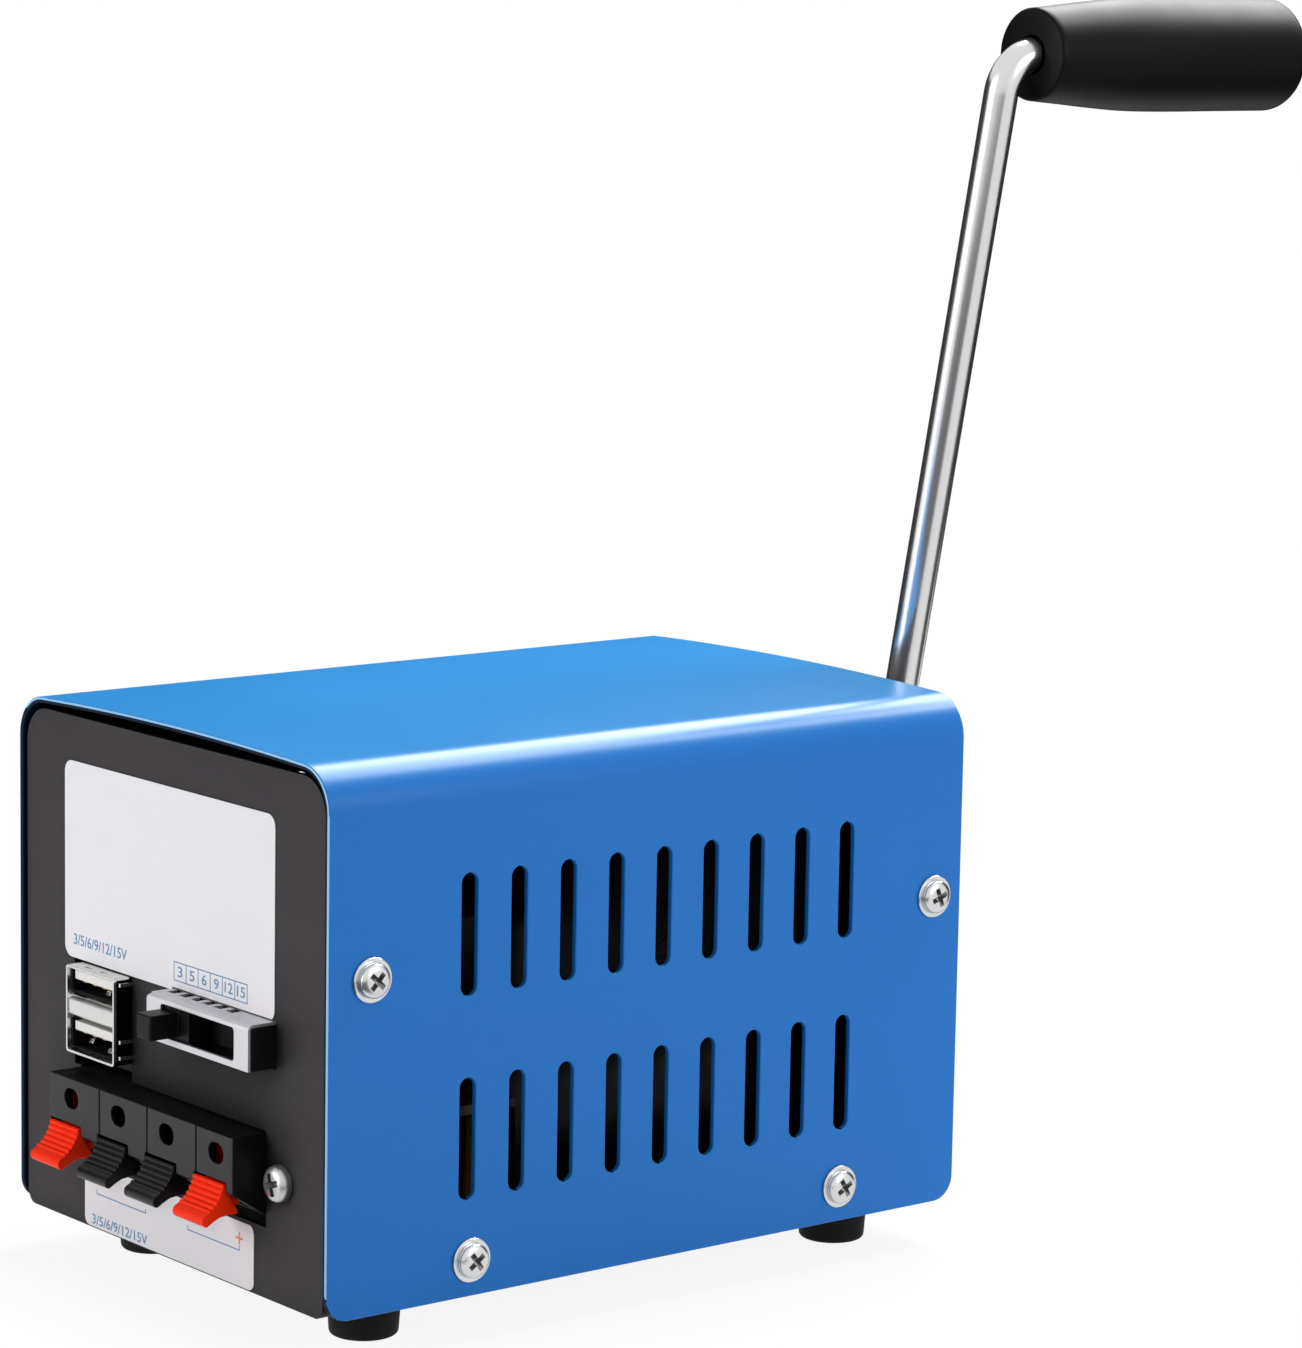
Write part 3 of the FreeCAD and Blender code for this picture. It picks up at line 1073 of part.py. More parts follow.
extents = [shape.BoundBox for shape in saved.values()]
print("nodes", len(saved))
print("solids", sum(len(shape.Solids) for shape in saved.values()))
print("x %.2f .. %.2f" % (min(b.XMin for b in extents), max(b.XMax for b in extents)))
print("y %.2f .. %.2f" % (min(b.YMin for b in extents), max(b.YMax for b in extents)))
print("z %.2f .. %.2f" % (min(b.ZMin for b in extents), max(b.ZMax for b in extents)))
print("axes: first layshaft (%.3f, %.3f)" % AXIS_FIRST)
print("axes: second layshaft (%.3f, %.3f)" % AXIS_SECOND)
print("axes: rotor (%.3f, %.3f)" % AXIS_ROTOR)
for node, shape in sorted(saved.items()):
    if not shape.isValid() or any(solid.Volume <= 0 for solid in shape.Solids):
        print("not a clean solid:", node)
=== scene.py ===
# %% [markdown]
# # A hand crank generator
# This lesson dresses the engineering model of a hand crank generator: a folded steel case in blue
# paint, a dark front panel with sockets and push terminals, and a bent steel crank with a black grip.
# The engineering model is the frame. It is loaded first and never moved, and every piece made here is
# placed by the frame's own boxes, so nothing has to be fitted by eye.

# %% Load the frame
import math
import bmesh
import bpy
from mathutils import Matrix, Vector


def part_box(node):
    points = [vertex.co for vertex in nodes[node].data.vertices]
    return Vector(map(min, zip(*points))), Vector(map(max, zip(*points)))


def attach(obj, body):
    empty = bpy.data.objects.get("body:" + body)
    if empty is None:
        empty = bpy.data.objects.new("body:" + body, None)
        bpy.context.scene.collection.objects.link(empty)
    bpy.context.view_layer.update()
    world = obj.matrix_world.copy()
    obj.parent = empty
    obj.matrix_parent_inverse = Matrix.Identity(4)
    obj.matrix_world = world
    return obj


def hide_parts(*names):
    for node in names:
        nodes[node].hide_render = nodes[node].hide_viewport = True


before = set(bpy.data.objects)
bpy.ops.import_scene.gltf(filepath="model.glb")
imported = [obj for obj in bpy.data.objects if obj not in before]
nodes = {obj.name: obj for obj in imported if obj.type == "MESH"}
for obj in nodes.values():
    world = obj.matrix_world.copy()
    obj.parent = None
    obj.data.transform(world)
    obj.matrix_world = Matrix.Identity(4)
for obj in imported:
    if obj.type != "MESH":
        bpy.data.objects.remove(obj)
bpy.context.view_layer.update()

# %% [markdown]
# ## The sizes that everything follows
# A maker reads a few sizes off the drawing and works out the rest. Here they come from the boxes of the
# frame's nodes, in millimetres. Case coordinates put Y = 0 at the middle of the case, as a maker's
# drawing would, and Z = 0 on the table.

# %% Named sizes
MM = 0.001
cover_low, cover_high = [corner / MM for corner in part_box("cover")]
CASE_Y = (cover_low.y + cover_high.y) / 2
HALF_LENGTH = (cover_high.y - cover_low.y) / 2
HALF_WIDTH = (cover_high.x - cover_low.x) / 2
COVER_FOOT = cover_low.z
COVER_TOP = cover_high.z
SHEET = 1.0


def case_box(node):
    """The lowest and highest corner of a frame node, in case coordinates and millimetres."""
    low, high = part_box(node)
    middle = Vector((0, CASE_Y, 0))
    return low / MM - middle, high / MM - middle


PANEL_Y = case_box("chassis")[1].y
print("half length", round(HALF_LENGTH, 2), "half width", round(HALF_WIDTH, 2), "panel", round(PANEL_Y, 2))

# %% [markdown]
# ## The camera
# The view is a long lens from the front right and a little above, which keeps the case's upright edges
# nearly parallel. The camera could be aimed with a constraint, but a matrix built from an azimuth, an
# elevation and a roll says the same in numbers that can be read.

# %% Camera
def add_object(name, data):
    """Puts a mesh, a lamp or a camera into the scene."""
    made = bpy.data.objects.new(name, data)
    bpy.context.scene.collection.objects.link(made)
    return made


VIEW_AZIMUTH = math.radians(51.081)
VIEW_ELEVATION = math.radians(8.786)
VIEW_ROLL = math.radians(-1.013)
VIEW_DISTANCE = 763.39
VIEW_AIM = Vector((0.0, CASE_Y, 94.48))
AIM_RIGHT = 25.198
AIM_DOWN = -0.905
LENS_MM = 125.169
SENSOR_MM = 36.0

level = math.cos(VIEW_ELEVATION)
back = Vector((math.sin(VIEW_AZIMUTH) * level, -math.cos(VIEW_AZIMUTH) * level, math.sin(VIEW_ELEVATION)))
level_right = (-back).cross(Vector((0, 0, 1))).normalized()
level_down = (-back).cross(level_right)
right = level_right * math.cos(VIEW_ROLL) + level_down * math.sin(VIEW_ROLL)
down = level_down * math.cos(VIEW_ROLL) - level_right * math.sin(VIEW_ROLL)
place = (VIEW_AIM + back * VIEW_DISTANCE + right * AIM_RIGHT + down * AIM_DOWN) * MM

camera_data = bpy.data.cameras.new("camera")
camera_data.sensor_width = SENSOR_MM
camera_data.lens = LENS_MM
camera_data.clip_start = 0.01
camera_data.clip_end = 100.0
camera = add_object("camera", camera_data)
turn = Matrix((right, -down, back)).transposed().to_4x4()
camera.matrix_world = Matrix.Translation(place) @ turn
bpy.context.scene.camera = camera
bpy.context.scene.view_settings.view_transform = "Standard"
print("camera at", [round(v, 3) for v in place], "m")

# %% [markdown]
# ## Colours and shader nodes
# Colours are picked on a screen, so they are written as sRGB hex values and turned to the linear
# values that a shader works with. One small function adds a shader node, sets its values and joins its
# inputs. Every finish below is built with it, so each reads as a short list of what is on the surface.

# %% Colour and node helpers
def linear(hex_colour):
    """An sRGB hex colour as the linear colour that a shader takes."""
    channels = [int(hex_colour[start:start + 2], 16) / 255 for start in (1, 3, 5)]
    return tuple(c / 12.92 if c <= 0.04045 else ((c + 0.055) / 1.055) ** 2.4 for c in channels) + (1.0,)


def add_node(tree, kind, settings=None, links=None):
    """Adds a shader node. A setting or a link is named by the input's name or number, or by a property."""
    node = tree.nodes.new("ShaderNode" + kind)
    for key, value in (settings or {}).items():
        if isinstance(key, str) and hasattr(node, key):
            setattr(node, key, value)
        else:
            node.inputs[key].default_value = value
    for key, source in (links or {}).items():
        output = source if isinstance(source, bpy.types.NodeSocket) else source.outputs[0]
        tree.links.new(output, node.inputs[key])
    return node


def start_finish(name, colour, roughness, metallic=0.0, **sockets):
    """A new material whose shader has plain values. Returns its node tree, shader and coordinates."""
    material = bpy.data.materials.new(name)
    material.use_nodes = True
    tree = material.node_tree
    tree.nodes.clear()
    shader = add_node(tree, "BsdfPrincipled", {
        "Base Color": linear(colour), "Roughness": roughness, "Metallic": metallic,
    })
    for key, value in sockets.items():
        shader.inputs[key.replace("_", " ")].default_value = value
    add_node(tree, "OutputMaterial", links={"Surface": shader})
    where = add_node(tree, "TexCoord").outputs["Object"]
    return material, tree, shader, where


def per_metre(millimetres):
    """The texture scale that gives a pattern of this size, because coordinates are in metres."""
    return 1000.0 / millimetres


# %% [markdown]
# Two effects come back in most finishes. A moulded, cast or sprayed skin has small hills, which catch the
# light: that is a noise read as a height. And no large surface has quite one colour or one gloss: a
# slow noise moves both a little. Each effect is a function with real sizes in millimetres.

# %% Hills and drift
EVEN = (1.0, 1.0, 1.0)
# The numbers of a Mix node's two colour inputs.
FIRST, SECOND = 6, 7


def mix_base(tree, shader, share, other, keep=FIRST):
    """Mixes another colour into the base colour so far, which is the mix's first input or its second."""
    base = shader.inputs["Base Color"]
    settings = {"data_type": "RGBA", (SECOND if keep == FIRST else FIRST): linear(other)}
    links = {0: share}
    if base.links:
        links[keep] = base.links[0].from_socket
    else:
        settings[keep] = tuple(base.default_value)
    mix = add_node(tree, "Mix", settings, links)
    tree.links.new(mix.outputs[2], base)


def add_noise(tree, where, size_mm, stretch, detail, roughness):
    """A noise of one size, longer along the axes whose stretch is under one."""
    scale = tuple(per_metre(size_mm) * factor for factor in stretch)
    mapping = add_node(tree, "Mapping", {"Scale": scale}, {"Vector": where})
    settings = {"Scale": 1.0, "Detail": detail, "Roughness": roughness}
    return add_node(tree, "TexNoise", settings, {"Vector": mapping})


def add_hills(tree, shader, where, size_mm, depth_mm, stretch=EVEN, detail=2.0):
    """Small hills of one size and depth, which lie on the hills that were added before."""
    normal = shader.inputs["Normal"]
    noise = add_noise(tree, where, size_mm, stretch, detail, 0.5)
    bump = add_node(tree, "Bump", {"Strength": 1.0, "Distance": depth_mm * MM}, {"Height": noise})
    if normal.links:
        tree.links.new(normal.links[0].from_socket, bump.inputs["Normal"])
    tree.links.new(bump.outputs[0], normal)


def add_drift(tree, shader, where, size_mm, other_colour, rough_low, rough_high, stretch=EVEN):
    """Colour and gloss wander slowly between the base and another colour, and two roughnesses."""
    noise = add_noise(tree, where, size_mm, stretch, 3.0, 0.55)
    mix_base(tree, shader, noise, other_colour)
    gloss = add_node(tree, "MapRange", {
        "From Min": 0.25, "From Max": 0.75, "To Min": rough_low, "To Max": rough_high,
    }, {"Value": noise})
    tree.links.new(gloss.outputs[0], shader.inputs["Roughness"])


# %% [markdown]
# ## Painted steel
# The cover is mild steel sheet in sprayed gloss enamel. Enamel lies smooth, with the faint orange peel of
# a spray gun, a wave of about 1.5 mm that only shows where a light is mirrored. A lighter blue on the cut
# edges is a painted highlight, and the navy on the inside of the sheet is painted shade. Where the skin
# faces up, a second blue is mixed in as painted light on the top. The chassis has a satin dark grey powder
# coat, whose melted grains leave a finer and softer skin that spreads the light. An occlusion node darkens
# its colour in the corners beside the parts that stand on the panel, as painted shade.

# %% Painted steel
PAINTED_SHADE_REACH = 0.012
PAINTED_SHADE_DEPTH = 3.0
blue_enamel, tree, shader, where = start_finish(
    "blue_gloss_enamel_on_steel", "#196FBF", 0.28, IOR=1.5, Specular_IOR_Level=0.2)
add_drift(tree, shader, where, 45.0, "#186CBB", 0.27, 0.31)
# Painted light: where the skin faces up, a second blue is mixed in, so the top reads as lit from above.
facing = add_node(tree, "SeparateXYZ", links={0: add_node(tree, "TexCoord").outputs["Normal"]})
painted_top_light = add_node(tree, "MapRange", {"From Min": 0.5, "From Max": 0.95}, {"Value": facing.outputs["Z"]})
mix_base(tree, shader, painted_top_light, "#1D78B7")
add_hills(tree, shader, where, 1.5, 0.003)

# A painted highlight: a light blue for the outer part of the cover's cut edges.
painted_edge_highlight, tree, shader, where = start_finish("blue_enamel_painted_edge_highlight", "#8CC6F0", 0.3, IOR=1.5)
add_drift(tree, shader, where, 12.0, "#84BFEA", 0.26, 0.34)

# Painted shade: a dark navy for the inside of the cover and for its cut edges where no highlight is painted.
navy_painted_shade, tree, shader, where = start_finish(
    "navy_painted_shade_inside_the_cover", "#061228", 0.55, IOR=1.5, Specular_IOR_Level=0.1)
add_drift(tree, shader, where, 25.0, "#08152C", 0.5, 0.6)
add_hills(tree, shader, where, 0.5, 0.004)

grey_powder_coat, tree, shader, where = start_finish(
    "dark_grey_satin_powder_coat", "#3B383A", 0.5, IOR=1.5, Specular_IOR_Level=0.12)
add_drift(tree, shader, where, 30.0, "#363436", 0.46, 0.56)
add_hills(tree, shader, where, 0.45, 0.008)
# Painted shade: ambient occlusion darkens the coat's colour in the corners beside the parts on the panel.
nearby = add_node(tree, "AmbientOcclusion", {"Distance": PAINTED_SHADE_REACH, "samples": 8})
painted_corner_shade = add_node(tree, "Math", {"operation": "POWER", 1: PAINTED_SHADE_DEPTH}, {0: nearby.outputs["AO"]})
mix_base(tree, shader, painted_corner_shade, "#060607", keep=SECOND)

# %% [markdown]
# ## Label film and its inks
# The labels are white polyester film, screen printed on the face and glued on. Film is nearly flat, with
# a faint haze from its matt lacquer. The inks lie on it as a thin, slightly duller skin.

# %% Label film and inks
label_film, tree, shader, where = start_finish("white_polyester_label_film", "#E4E2E5", 0.42, IOR=1.49)
add_drift(tree, shader, where, 22.0, "#DFDDE1", 0.38, 0.46)
add_hills(tree, shader, where, 0.25, 0.0012)


def screen_ink(name, colour, darker):
    """An ink that lies on the film, a little duller and uneven."""
    material, tree, shader, where = start_finish(name, colour, 0.5, IOR=1.5)
    add_drift(tree, shader, where, 1.2, darker, 0.45, 0.55)
    return material


blue_ink = screen_ink("blue_screen_ink", "#5E8CB4", "#527FA8")
orange_ink = screen_ink("orange_screen_ink", "#F08A35", "#E67C28")

# %% [markdown]
# ## Plastics
# Housings and levers are injection moulded. The tool is spark eroded, which leaves the black ABS a fine
# matt grain of about 0.3 mm. The coloured levers come from a polished tool and stay glossier. The grip
# is a larger moulding with a soft satin skin, and the socket tongues are white nylon.

# %% Plastics
MOULDED_GLOSS = 0.3


def moulded(name, colour, other, roughness, grain_mm, depth_mm, drift_mm=8.0, ior=1.5, gloss=MOULDED_GLOSS):
    """A plastic, a rubber, a paint or a pressed powder, with the fine grain of its skin."""
    material, tree, shader, where = start_finish(name, colour, roughness, IOR=ior, Specular_IOR_Level=gloss)
    add_drift(tree, shader, where, drift_mm, other, roughness - 0.04, roughness + 0.05)
    add_hills(tree, shader, where, grain_mm, depth_mm)
    return material


black_abs = moulded("black_spark_textured_abs", "#262628", "#212123", 0.46, 0.3, 0.006)
# A darker black: the selector knob's own colour, and painted shade on the terminal housing's faces that don't
# face front.
smooth_abs_and_painted_shade = moulded("black_smooth_abs_and_painted_shade", "#0B0B0C", "#0F0F10", 0.4, 0.4, 0.003, gloss=0.15)
# In the sockets this black is painted shade; on the selector's body it is the body's own colour.
socket_black_and_painted_shade = moulded("black_nylon_and_painted_socket_shade", "#0B0B0C", "#0E0E0F", 0.5, 0.25, 0.004, gloss=0.2)
red_abs = moulded("red_polished_abs", "#FF3002", "#FA2B00", 0.4, 0.5, 0.003, ior=1.53, gloss=0.12)
black_polished_abs = moulded(
    "black_polished_abs", "#0B0B0C", "#09090A", 0.28, 0.5, 0.003, ior=1.53, gloss=0.24)
grip_skin = moulded("satin_black_polypropylene", "#08080A", "#0A0A0C", 0.42, 0.35, 0.004, 18.0, 1.49, 0.08)
white_nylon = moulded("white_nylon", "#E3E2DF", "#DAD9D6", 0.4, 0.3, 0.003, ior=1.53)
# The generator can's black is painted shade, so the inside of the case reads dark through the slots.
can_painted_shade = moulded("black_can_paint_as_painted_shade", "#1B1B1D", "#212123", 0.42, 1.2, 0.004, 20.0)
black_epoxy = moulded("black_moulded_epoxy", "#222223", "#2B2B2C", 0.55, 0.2, 0.006)
foot_rubber = moulded("black_moulded_rubber", "#070708", "#0A0A0B", 0.68, 0.4, 0.012, ior=1.52, gloss=0.15)

# %% [markdown]
# ## Bare metals
# Metals get their colour from the metal itself and their look from how they were worked. Drawn rod has
# fine lines along its length. Turned and stamped pieces have finer marks in all directions. A bright
# zinc plate is a little cloudy. The metals keep their default refraction value.

# %% Bare metals
def worked_metal(name, colour, other, roughness, mark_mm, depth_mm, stretch=EVEN, drift_mm=6.0):
    """A bare or plated metal, with the marks of how it was worked."""
    material, tree, shader, where = start_finish(name, colour, roughness, 1.0)
    add_drift(tree, shader, where, drift_mm, other, roughness - 0.05, roughness + 0.06, stretch)
    add_hills(tree, shader, where, mark_mm, depth_mm, stretch, 3.0)
    return material


# A very dark steel. On the parts inside the case, the socket shell's right side and the selector's notches it
# is painted shade.
black_oxide_and_painted_shade = worked_metal("black_oxide_steel_and_painted_shade", "#1C1C1E", "#161618", 0.42, 0.25, 0.003)
bright_zinc = worked_metal("bright_zinc_plated_steel", "#DCDCDB", "#CFD0D1", 0.24, 0.5, 0.002)
dull_zinc = worked_metal("dull_zinc_plated_steel", "#CBCBCA", "#BDBEBF", 0.38, 0.5, 0.002)
# Darker finishes for the inside of the screws' cross recesses: painted shade.
cover_recess_painted_shade = worked_metal("cover_screw_recess_painted_shade", "#8C8C8C", "#7A7B7C", 0.42, 0.25, 0.003)
terminal_recess_painted_shade = worked_metal("terminal_screw_recess_painted_shade", "#6A6A6B", "#565657", 0.5, 0.25, 0.003)
socket_nickel = worked_metal("nickel_plated_spring_steel", "#DEDDDC", "#D6D5D4", 0.2, 0.5, 0.0006)
tinned_steel = worked_metal("tinned_steel_stamping", "#D2D0D4", "#C9C7CB", 0.48, 0.4, 0.002)
gear_steel = worked_metal("machined_gear_steel", "#A9A8A6", "#8F8E8C", 0.33, 0.25, 0.003)
black_anodised = worked_metal(
    "black_anodised_aluminium", "#2A2A2C", "#242426", 0.42, 0.2, 0.003, (1.0, 1.0, 0.05))
# The bushes' bronze is darkened as painted shade inside the case.
bronze_in_painted_shade = worked_metal("sintered_bronze_darkened_as_painted_shade", "#33271A", "#291F14", 0.45, 0.2, 0.006)
stamped_brass = worked_metal("stamped_brass", "#D9B45E", "#C79F4A", 0.3, 0.3, 0.002)
enamelled_copper = worked_metal("enamelled_copper_wire", "#B5622C", "#9C4E20", 0.32, 0.4, 0.02, EVEN, 3.0)

# %% [markdown]
# Wires inside are covered with soft PVC. The two magnets and the choke's ring are sintered ferrite, a dark
# ceramic, and the brushes are pressed carbon. The board is glass fibre under a solder mask kept near black,
# as painted shade, in which the copper tracks show as slightly lighter lines: a brick pattern warped by
# noise stands in for them.

# %% The finishes inside the case
red_pvc = moulded("red_pvc_insulation", "#B3201B", "#A51A17", 0.5, 0.6, 0.004, 4.0, 1.54)
black_pvc = moulded("black_pvc_insulation", "#1A1A1B", "#202021", 0.5, 0.6, 0.004, 4.0, 1.54)
ferrite = moulded("sintered_ferrite", "#38383A", "#2E2E30", 0.6, 0.3, 0.01)
carbon = moulded("pressed_carbon", "#232324", "#2C2C2D", 0.55, 0.25, 0.008)
blue_sleeve = moulded("shrunk_capacitor_sleeve", "#1B2A57", "#182550", 0.34, 2.0, 0.01, 5.0, 1.54)

TRACK_PITCH = 4.0
TRACK_GAP = 0.045
solder_mask_in_painted_shade, tree, shader, where = start_finish("near_black_solder_mask_as_painted_shade", "#0D100E", 0.4, IOR=1.55)
bend = add_node(tree, "TexNoise", {"Scale": per_metre(20.0), "Detail": 1.0}, {"Vector": where})
warped = add_node(tree, "Mix", {"data_type": "VECTOR", 0: TRACK_PITCH * MM}, {4: where, 5: bend.outputs[1]})
tracks = add_node(tree, "TexBrick", {
    "Scale": per_metre(TRACK_PITCH * 4), "Mortar Size": TRACK_GAP, "Color1": linear("#0D100E"),
    "Color2": linear("#0F1311"), "Mortar": linear("#1B211D"),
}, {"Vector": warped.outputs[1]})
tree.links.new(tracks.outputs[0], shader.inputs["Base Color"])
add_hills(tree, shader, where, 0.8, 0.003)

# %% [markdown]
# ## The studio
# The object stands on a plain white table in soft light. One large lamp hangs above and behind, so that
# the painted bend mirrors it as a bright line. A softbox on each side lights the front and the long side.
# The table and the room are white to the camera and to mirrors. The table keeps the shadow near the object,
# by its distance from the case's outline, which a chain of vector nodes works out.

# %% Table and background
CASE_MIDDLE = Vector((0.0, CASE_Y * MM, 0.055))
TABLE_SIZE = 60.0
SHADOW_WIDTH = 0.03
SHADOW_FAINTNESS = 0.9
TABLE_COLOUR = "#D0D0D1"
WHITE = (1.0, 1.0, 1.0, 1.0)
ORIGIN = (0.0, 0.0, 0.0)


def add_stage(name, points, faces, material):
    """A part of the studio, which isn't part of the object."""
    data = bpy.data.meshes.new(name)
    data.from_pydata(points, [], faces)
    data.materials.append(material)
    holder = add_object(name, data)
    return holder


def add_background_share(tree):
    """One where a ray comes from the camera, a mirror or a glass, and zero where it carries light."""
    rays = add_node(tree, "LightPath")
    seen = add_node(tree, "Math", {"operation": "MAXIMUM"}, {
        0: rays.outputs["Is Camera Ray"], 1: rays.outputs["Is Transmission Ray"],
    })
    return add_node(tree, "Math", {"operation": "MAXIMUM"}, {0: seen, 1: rays.outputs["Is Glossy Ray"]})


white_table, tree, shader, where = start_finish("white_table", TABLE_COLOUR, 0.9, Specular_IOR_Level=0.0)
case_centre = (0.0, CASE_Y * MM, 0.0)
case_half = (HALF_WIDTH * MM, HALF_LENGTH * MM, 0.0)
distance = where
for operation, other in (("SUBTRACT", case_centre), ("ABSOLUTE", ORIGIN), ("SUBTRACT", case_half),
                         ("MAXIMUM", ORIGIN), ("LENGTH", ORIGIN)):
    distance = add_node(tree, "VectorMath", {"operation": operation, 1: other}, {0: distance})
far = add_node(tree, "MapRange", {
    "interpolation_type": "SMOOTHSTEP", "From Max": SHADOW_WIDTH, "To Min": SHADOW_FAINTNESS,
}, {"Value": distance.outputs["Value"]})
share = add_node(tree, "Math", {"operation": "MULTIPLY"}, {0: add_background_share(tree), 1: far})
white = add_node(tree, "Emission", {"Color": WHITE, "Strength": 1.0})
mixed = add_node(tree, "MixShader", links={0: share, 1: shader, 2: white})
output = next(node for node in tree.nodes if node.type == "OUTPUT_MATERIAL")
tree.links.new(mixed.outputs[0], output.inputs["Surface"])
half = TABLE_SIZE / 2
corners = [(-half, -half, 0), (half, -half, 0), (half, half, 0), (-half, half, 0)]
add_stage("table", corners, [(0, 1, 2, 3)], white_table)

AMBIENT = 0.36
world = bpy.data.worlds.new("studio")
bpy.context.scene.world = world
world.use_nodes = True
tree = world.node_tree
tree.nodes.clear()
seen = add_background_share(tree)
strength = add_node(tree, "MapRange", {"To Min": AMBIENT, "To Max": 1.0}, {"Value": seen})
room = add_node(tree, "Background", {"Color": WHITE}, {"Strength": strength})
add_node(tree, "OutputWorld", links={"Surface": room})

# %% [markdown]
# The lamps are area lamps, whose size sets how soft a shadow and how wide a mirrored highlight is.
# Each is placed by the direction it stands in, as seen from the case, and turned to face it. A white room
# alone would make polished steel plain white. So dark cards stand around it, and the bar mirrors them as
# its dark outline and centre line. Here only mirrors can see the cards.

# %% Lamps and cards
CARD_STEPS = 24


def add_lamp(name, direction, distance, width, height, watts):
    """A softbox that stands in a direction from the case, in metres, and faces it."""
    data = bpy.data.lights.new(name, "AREA")
    data.shape = "RECTANGLE"
    data.size = width
    data.size_y = height
    data.energy = watts
    lamp = add_object(name, data)
    toward = Vector(direction).normalized()
    lamp.location = CASE_MIDDLE + toward * distance
    lamp.rotation_euler = toward.to_track_quat("Z", "Y").to_euler()
    lamp.visible_camera = False


def add_card(name, material, middle_angle, spread, inner, outer, low, high):
    """A card in a bow about the case, between two angles, that only mirrors see."""
    points = []
    faces = []
    for step in range(CARD_STEPS + 1):
        angle = math.radians(middle_angle + spread * (2 * step / CARD_STEPS - 1))
        for radius, z in ((inner, low), (outer, high)):
            points.append((radius * math.cos(angle), CASE_MIDDLE.y + radius * math.sin(angle), z))
        if step:
            faces.append((2 * step - 2, 2 * step, 2 * step + 1, 2 * step - 1))
    card = add_stage(name, points, faces, material)
    card.visible_camera = False
    card.visible_diffuse = False
    card.visible_shadow = False


add_lamp("overhead_softbox", (-0.17, 0.58, 0.72), distance=1.0, width=0.8, height=0.6, watts=22.5)
add_lamp("right_softbox", (0.934, 0.30, 0.35), distance=1.1, width=0.4, height=0.5, watts=3.4)
add_lamp("left_softbox", (-0.26, -0.93, 0.24), distance=1.1, width=0.5, height=0.5, watts=5.5)

charcoal_card = start_finish("charcoal_card", "#333333", 1.0, Specular_IOR_Level=0.0)[0]
grey_card = start_finish("grey_card", "#5A5A5A", 1.0, Specular_IOR_Level=0.0)[0]
camera_angle = math.degrees(math.atan2(back.y, back.x))
add_card("back_card", charcoal_card, camera_angle + 180, 80, 0.45, 0.45, 0.0, 0.34)
add_card("front_card", grey_card, camera_angle, 34, 0.12, 0.6, 0.001, 0.001)
add_card("side_card", charcoal_card, 70, 15, 0.25, 0.45, 0.001, 0.001)

# %% [markdown]
# ## Making meshes from a drawing
# Most pieces of a machine are an outline drawn out to a thickness, a profile turned about an axis, or a
# round bar bent along a path. Three small functions make these in case coordinates. Openings are cut with
# a boolean, as a punch would, and a bevel then breaks every sharp edge, because no real edge is sharp
# and the thin bright line along it is what makes sheet metal look like metal.

# %% Mesh helpers
SHARP_ANGLE = 32.0


def circle(x, y, radius, steps):
    turns = [2 * math.pi * step / steps for step in range(steps)]
    return [(x + radius * math.cos(turn), y + radius * math.sin(turn)) for turn in turns]


def arc(x, y, radius, first, last, steps):
    """Points along an arc between two angles in degrees, both ends included."""
    turns = [math.radians(first + (last - first) * step / steps) for step in range(steps + 1)]
    return [(x + radius * math.cos(turn), y + radius * math.sin(turn)) for turn in turns]


def rounded(x0, x1, y0, y1, radius, steps=6):
    """A rectangle with round corners, counter-clockwise."""
    corners = ((x1 - radius, y0 + radius, -90), (x1 - radius, y1 - radius, 0),
               (x0 + radius, y1 - radius, 90), (x0 + radius, y0 + radius, 180))
    outline = []
    for x, y, first in corners:
        outline += arc(x, y, radius, first, first + 90, steps)
    return outline


ALONG = {
    "x": lambda u, v, w: Vector((w, u, v)),
    "y": lambda u, v, w: Vector((u, w, v)),
    "z": lambda u, v, w: Vector((u, v, w)),
}


def add_rings(mesh, rings, loop=False):
    """Joins rings of points, side by side, into a skin. Its ends are capped, or joined in a loop."""
    made = [[mesh.verts.new(point) for point in ring] for ring in rings]
    pairs = list(zip(made[:-1], made[1:]))
    if loop:
        pairs.append((made[-1], made[0]))
    else:
        mesh.faces.new(made[0][::-1])
        mesh.faces.new(made[-1])
    for low, high in pairs:
        for index in range(len(low)):
            following = (index + 1) % len(low)
            mesh.faces.new((low[index], low[following], high[following], high[index]))
    return made


def add_prism(mesh, outline, axis, start, end):
    """An outline in the two other coordinates, drawn out along an axis."""
    add_rings(mesh, [[ALONG[axis](u, v, w) for u, v in outline] for w in (start, end)])


def add_box(mesh, x0, x1, y0, y1, z0, z1):
    add_prism(mesh, [(x0, y0), (x1, y0), (x1, y1), (x0, y1)], "z", z0, z1)


def above_foot(outline):
    """An outline whose heights are counted from the cover's lower edge, moved up to its place."""
    return [(along, COVER_FOOT + height) for along, height in outline]


def add_turning(mesh, profile, centre, axis, steps, loop=False):
    """A profile of (distance along the axis, radius) turned about that axis."""
    rings = []
    for along, radius in profile:
        rings.append([ALONG[axis](u, v, along) for u, v in circle(*centre, radius, steps)])
    add_rings(mesh, rings, loop)


def add_tube(mesh, path, radius, steps):
    """A round bar along a path of points. The rings keep one side facing the same way, so none twists."""
    rings = []
    side = None
    for behind, point, ahead in zip(path[:1] + path, path, path[1:] + path[-1:]):
        run = (ahead - behind).normalized()
        side = run.orthogonal() if side is None else side - run * side.dot(run)
        side.normalize()
        other = run.cross(side)
        rings.append([point + side * u + other * v for u, v in circle(0, 0, radius, steps)])
    return add_rings(mesh, rings)


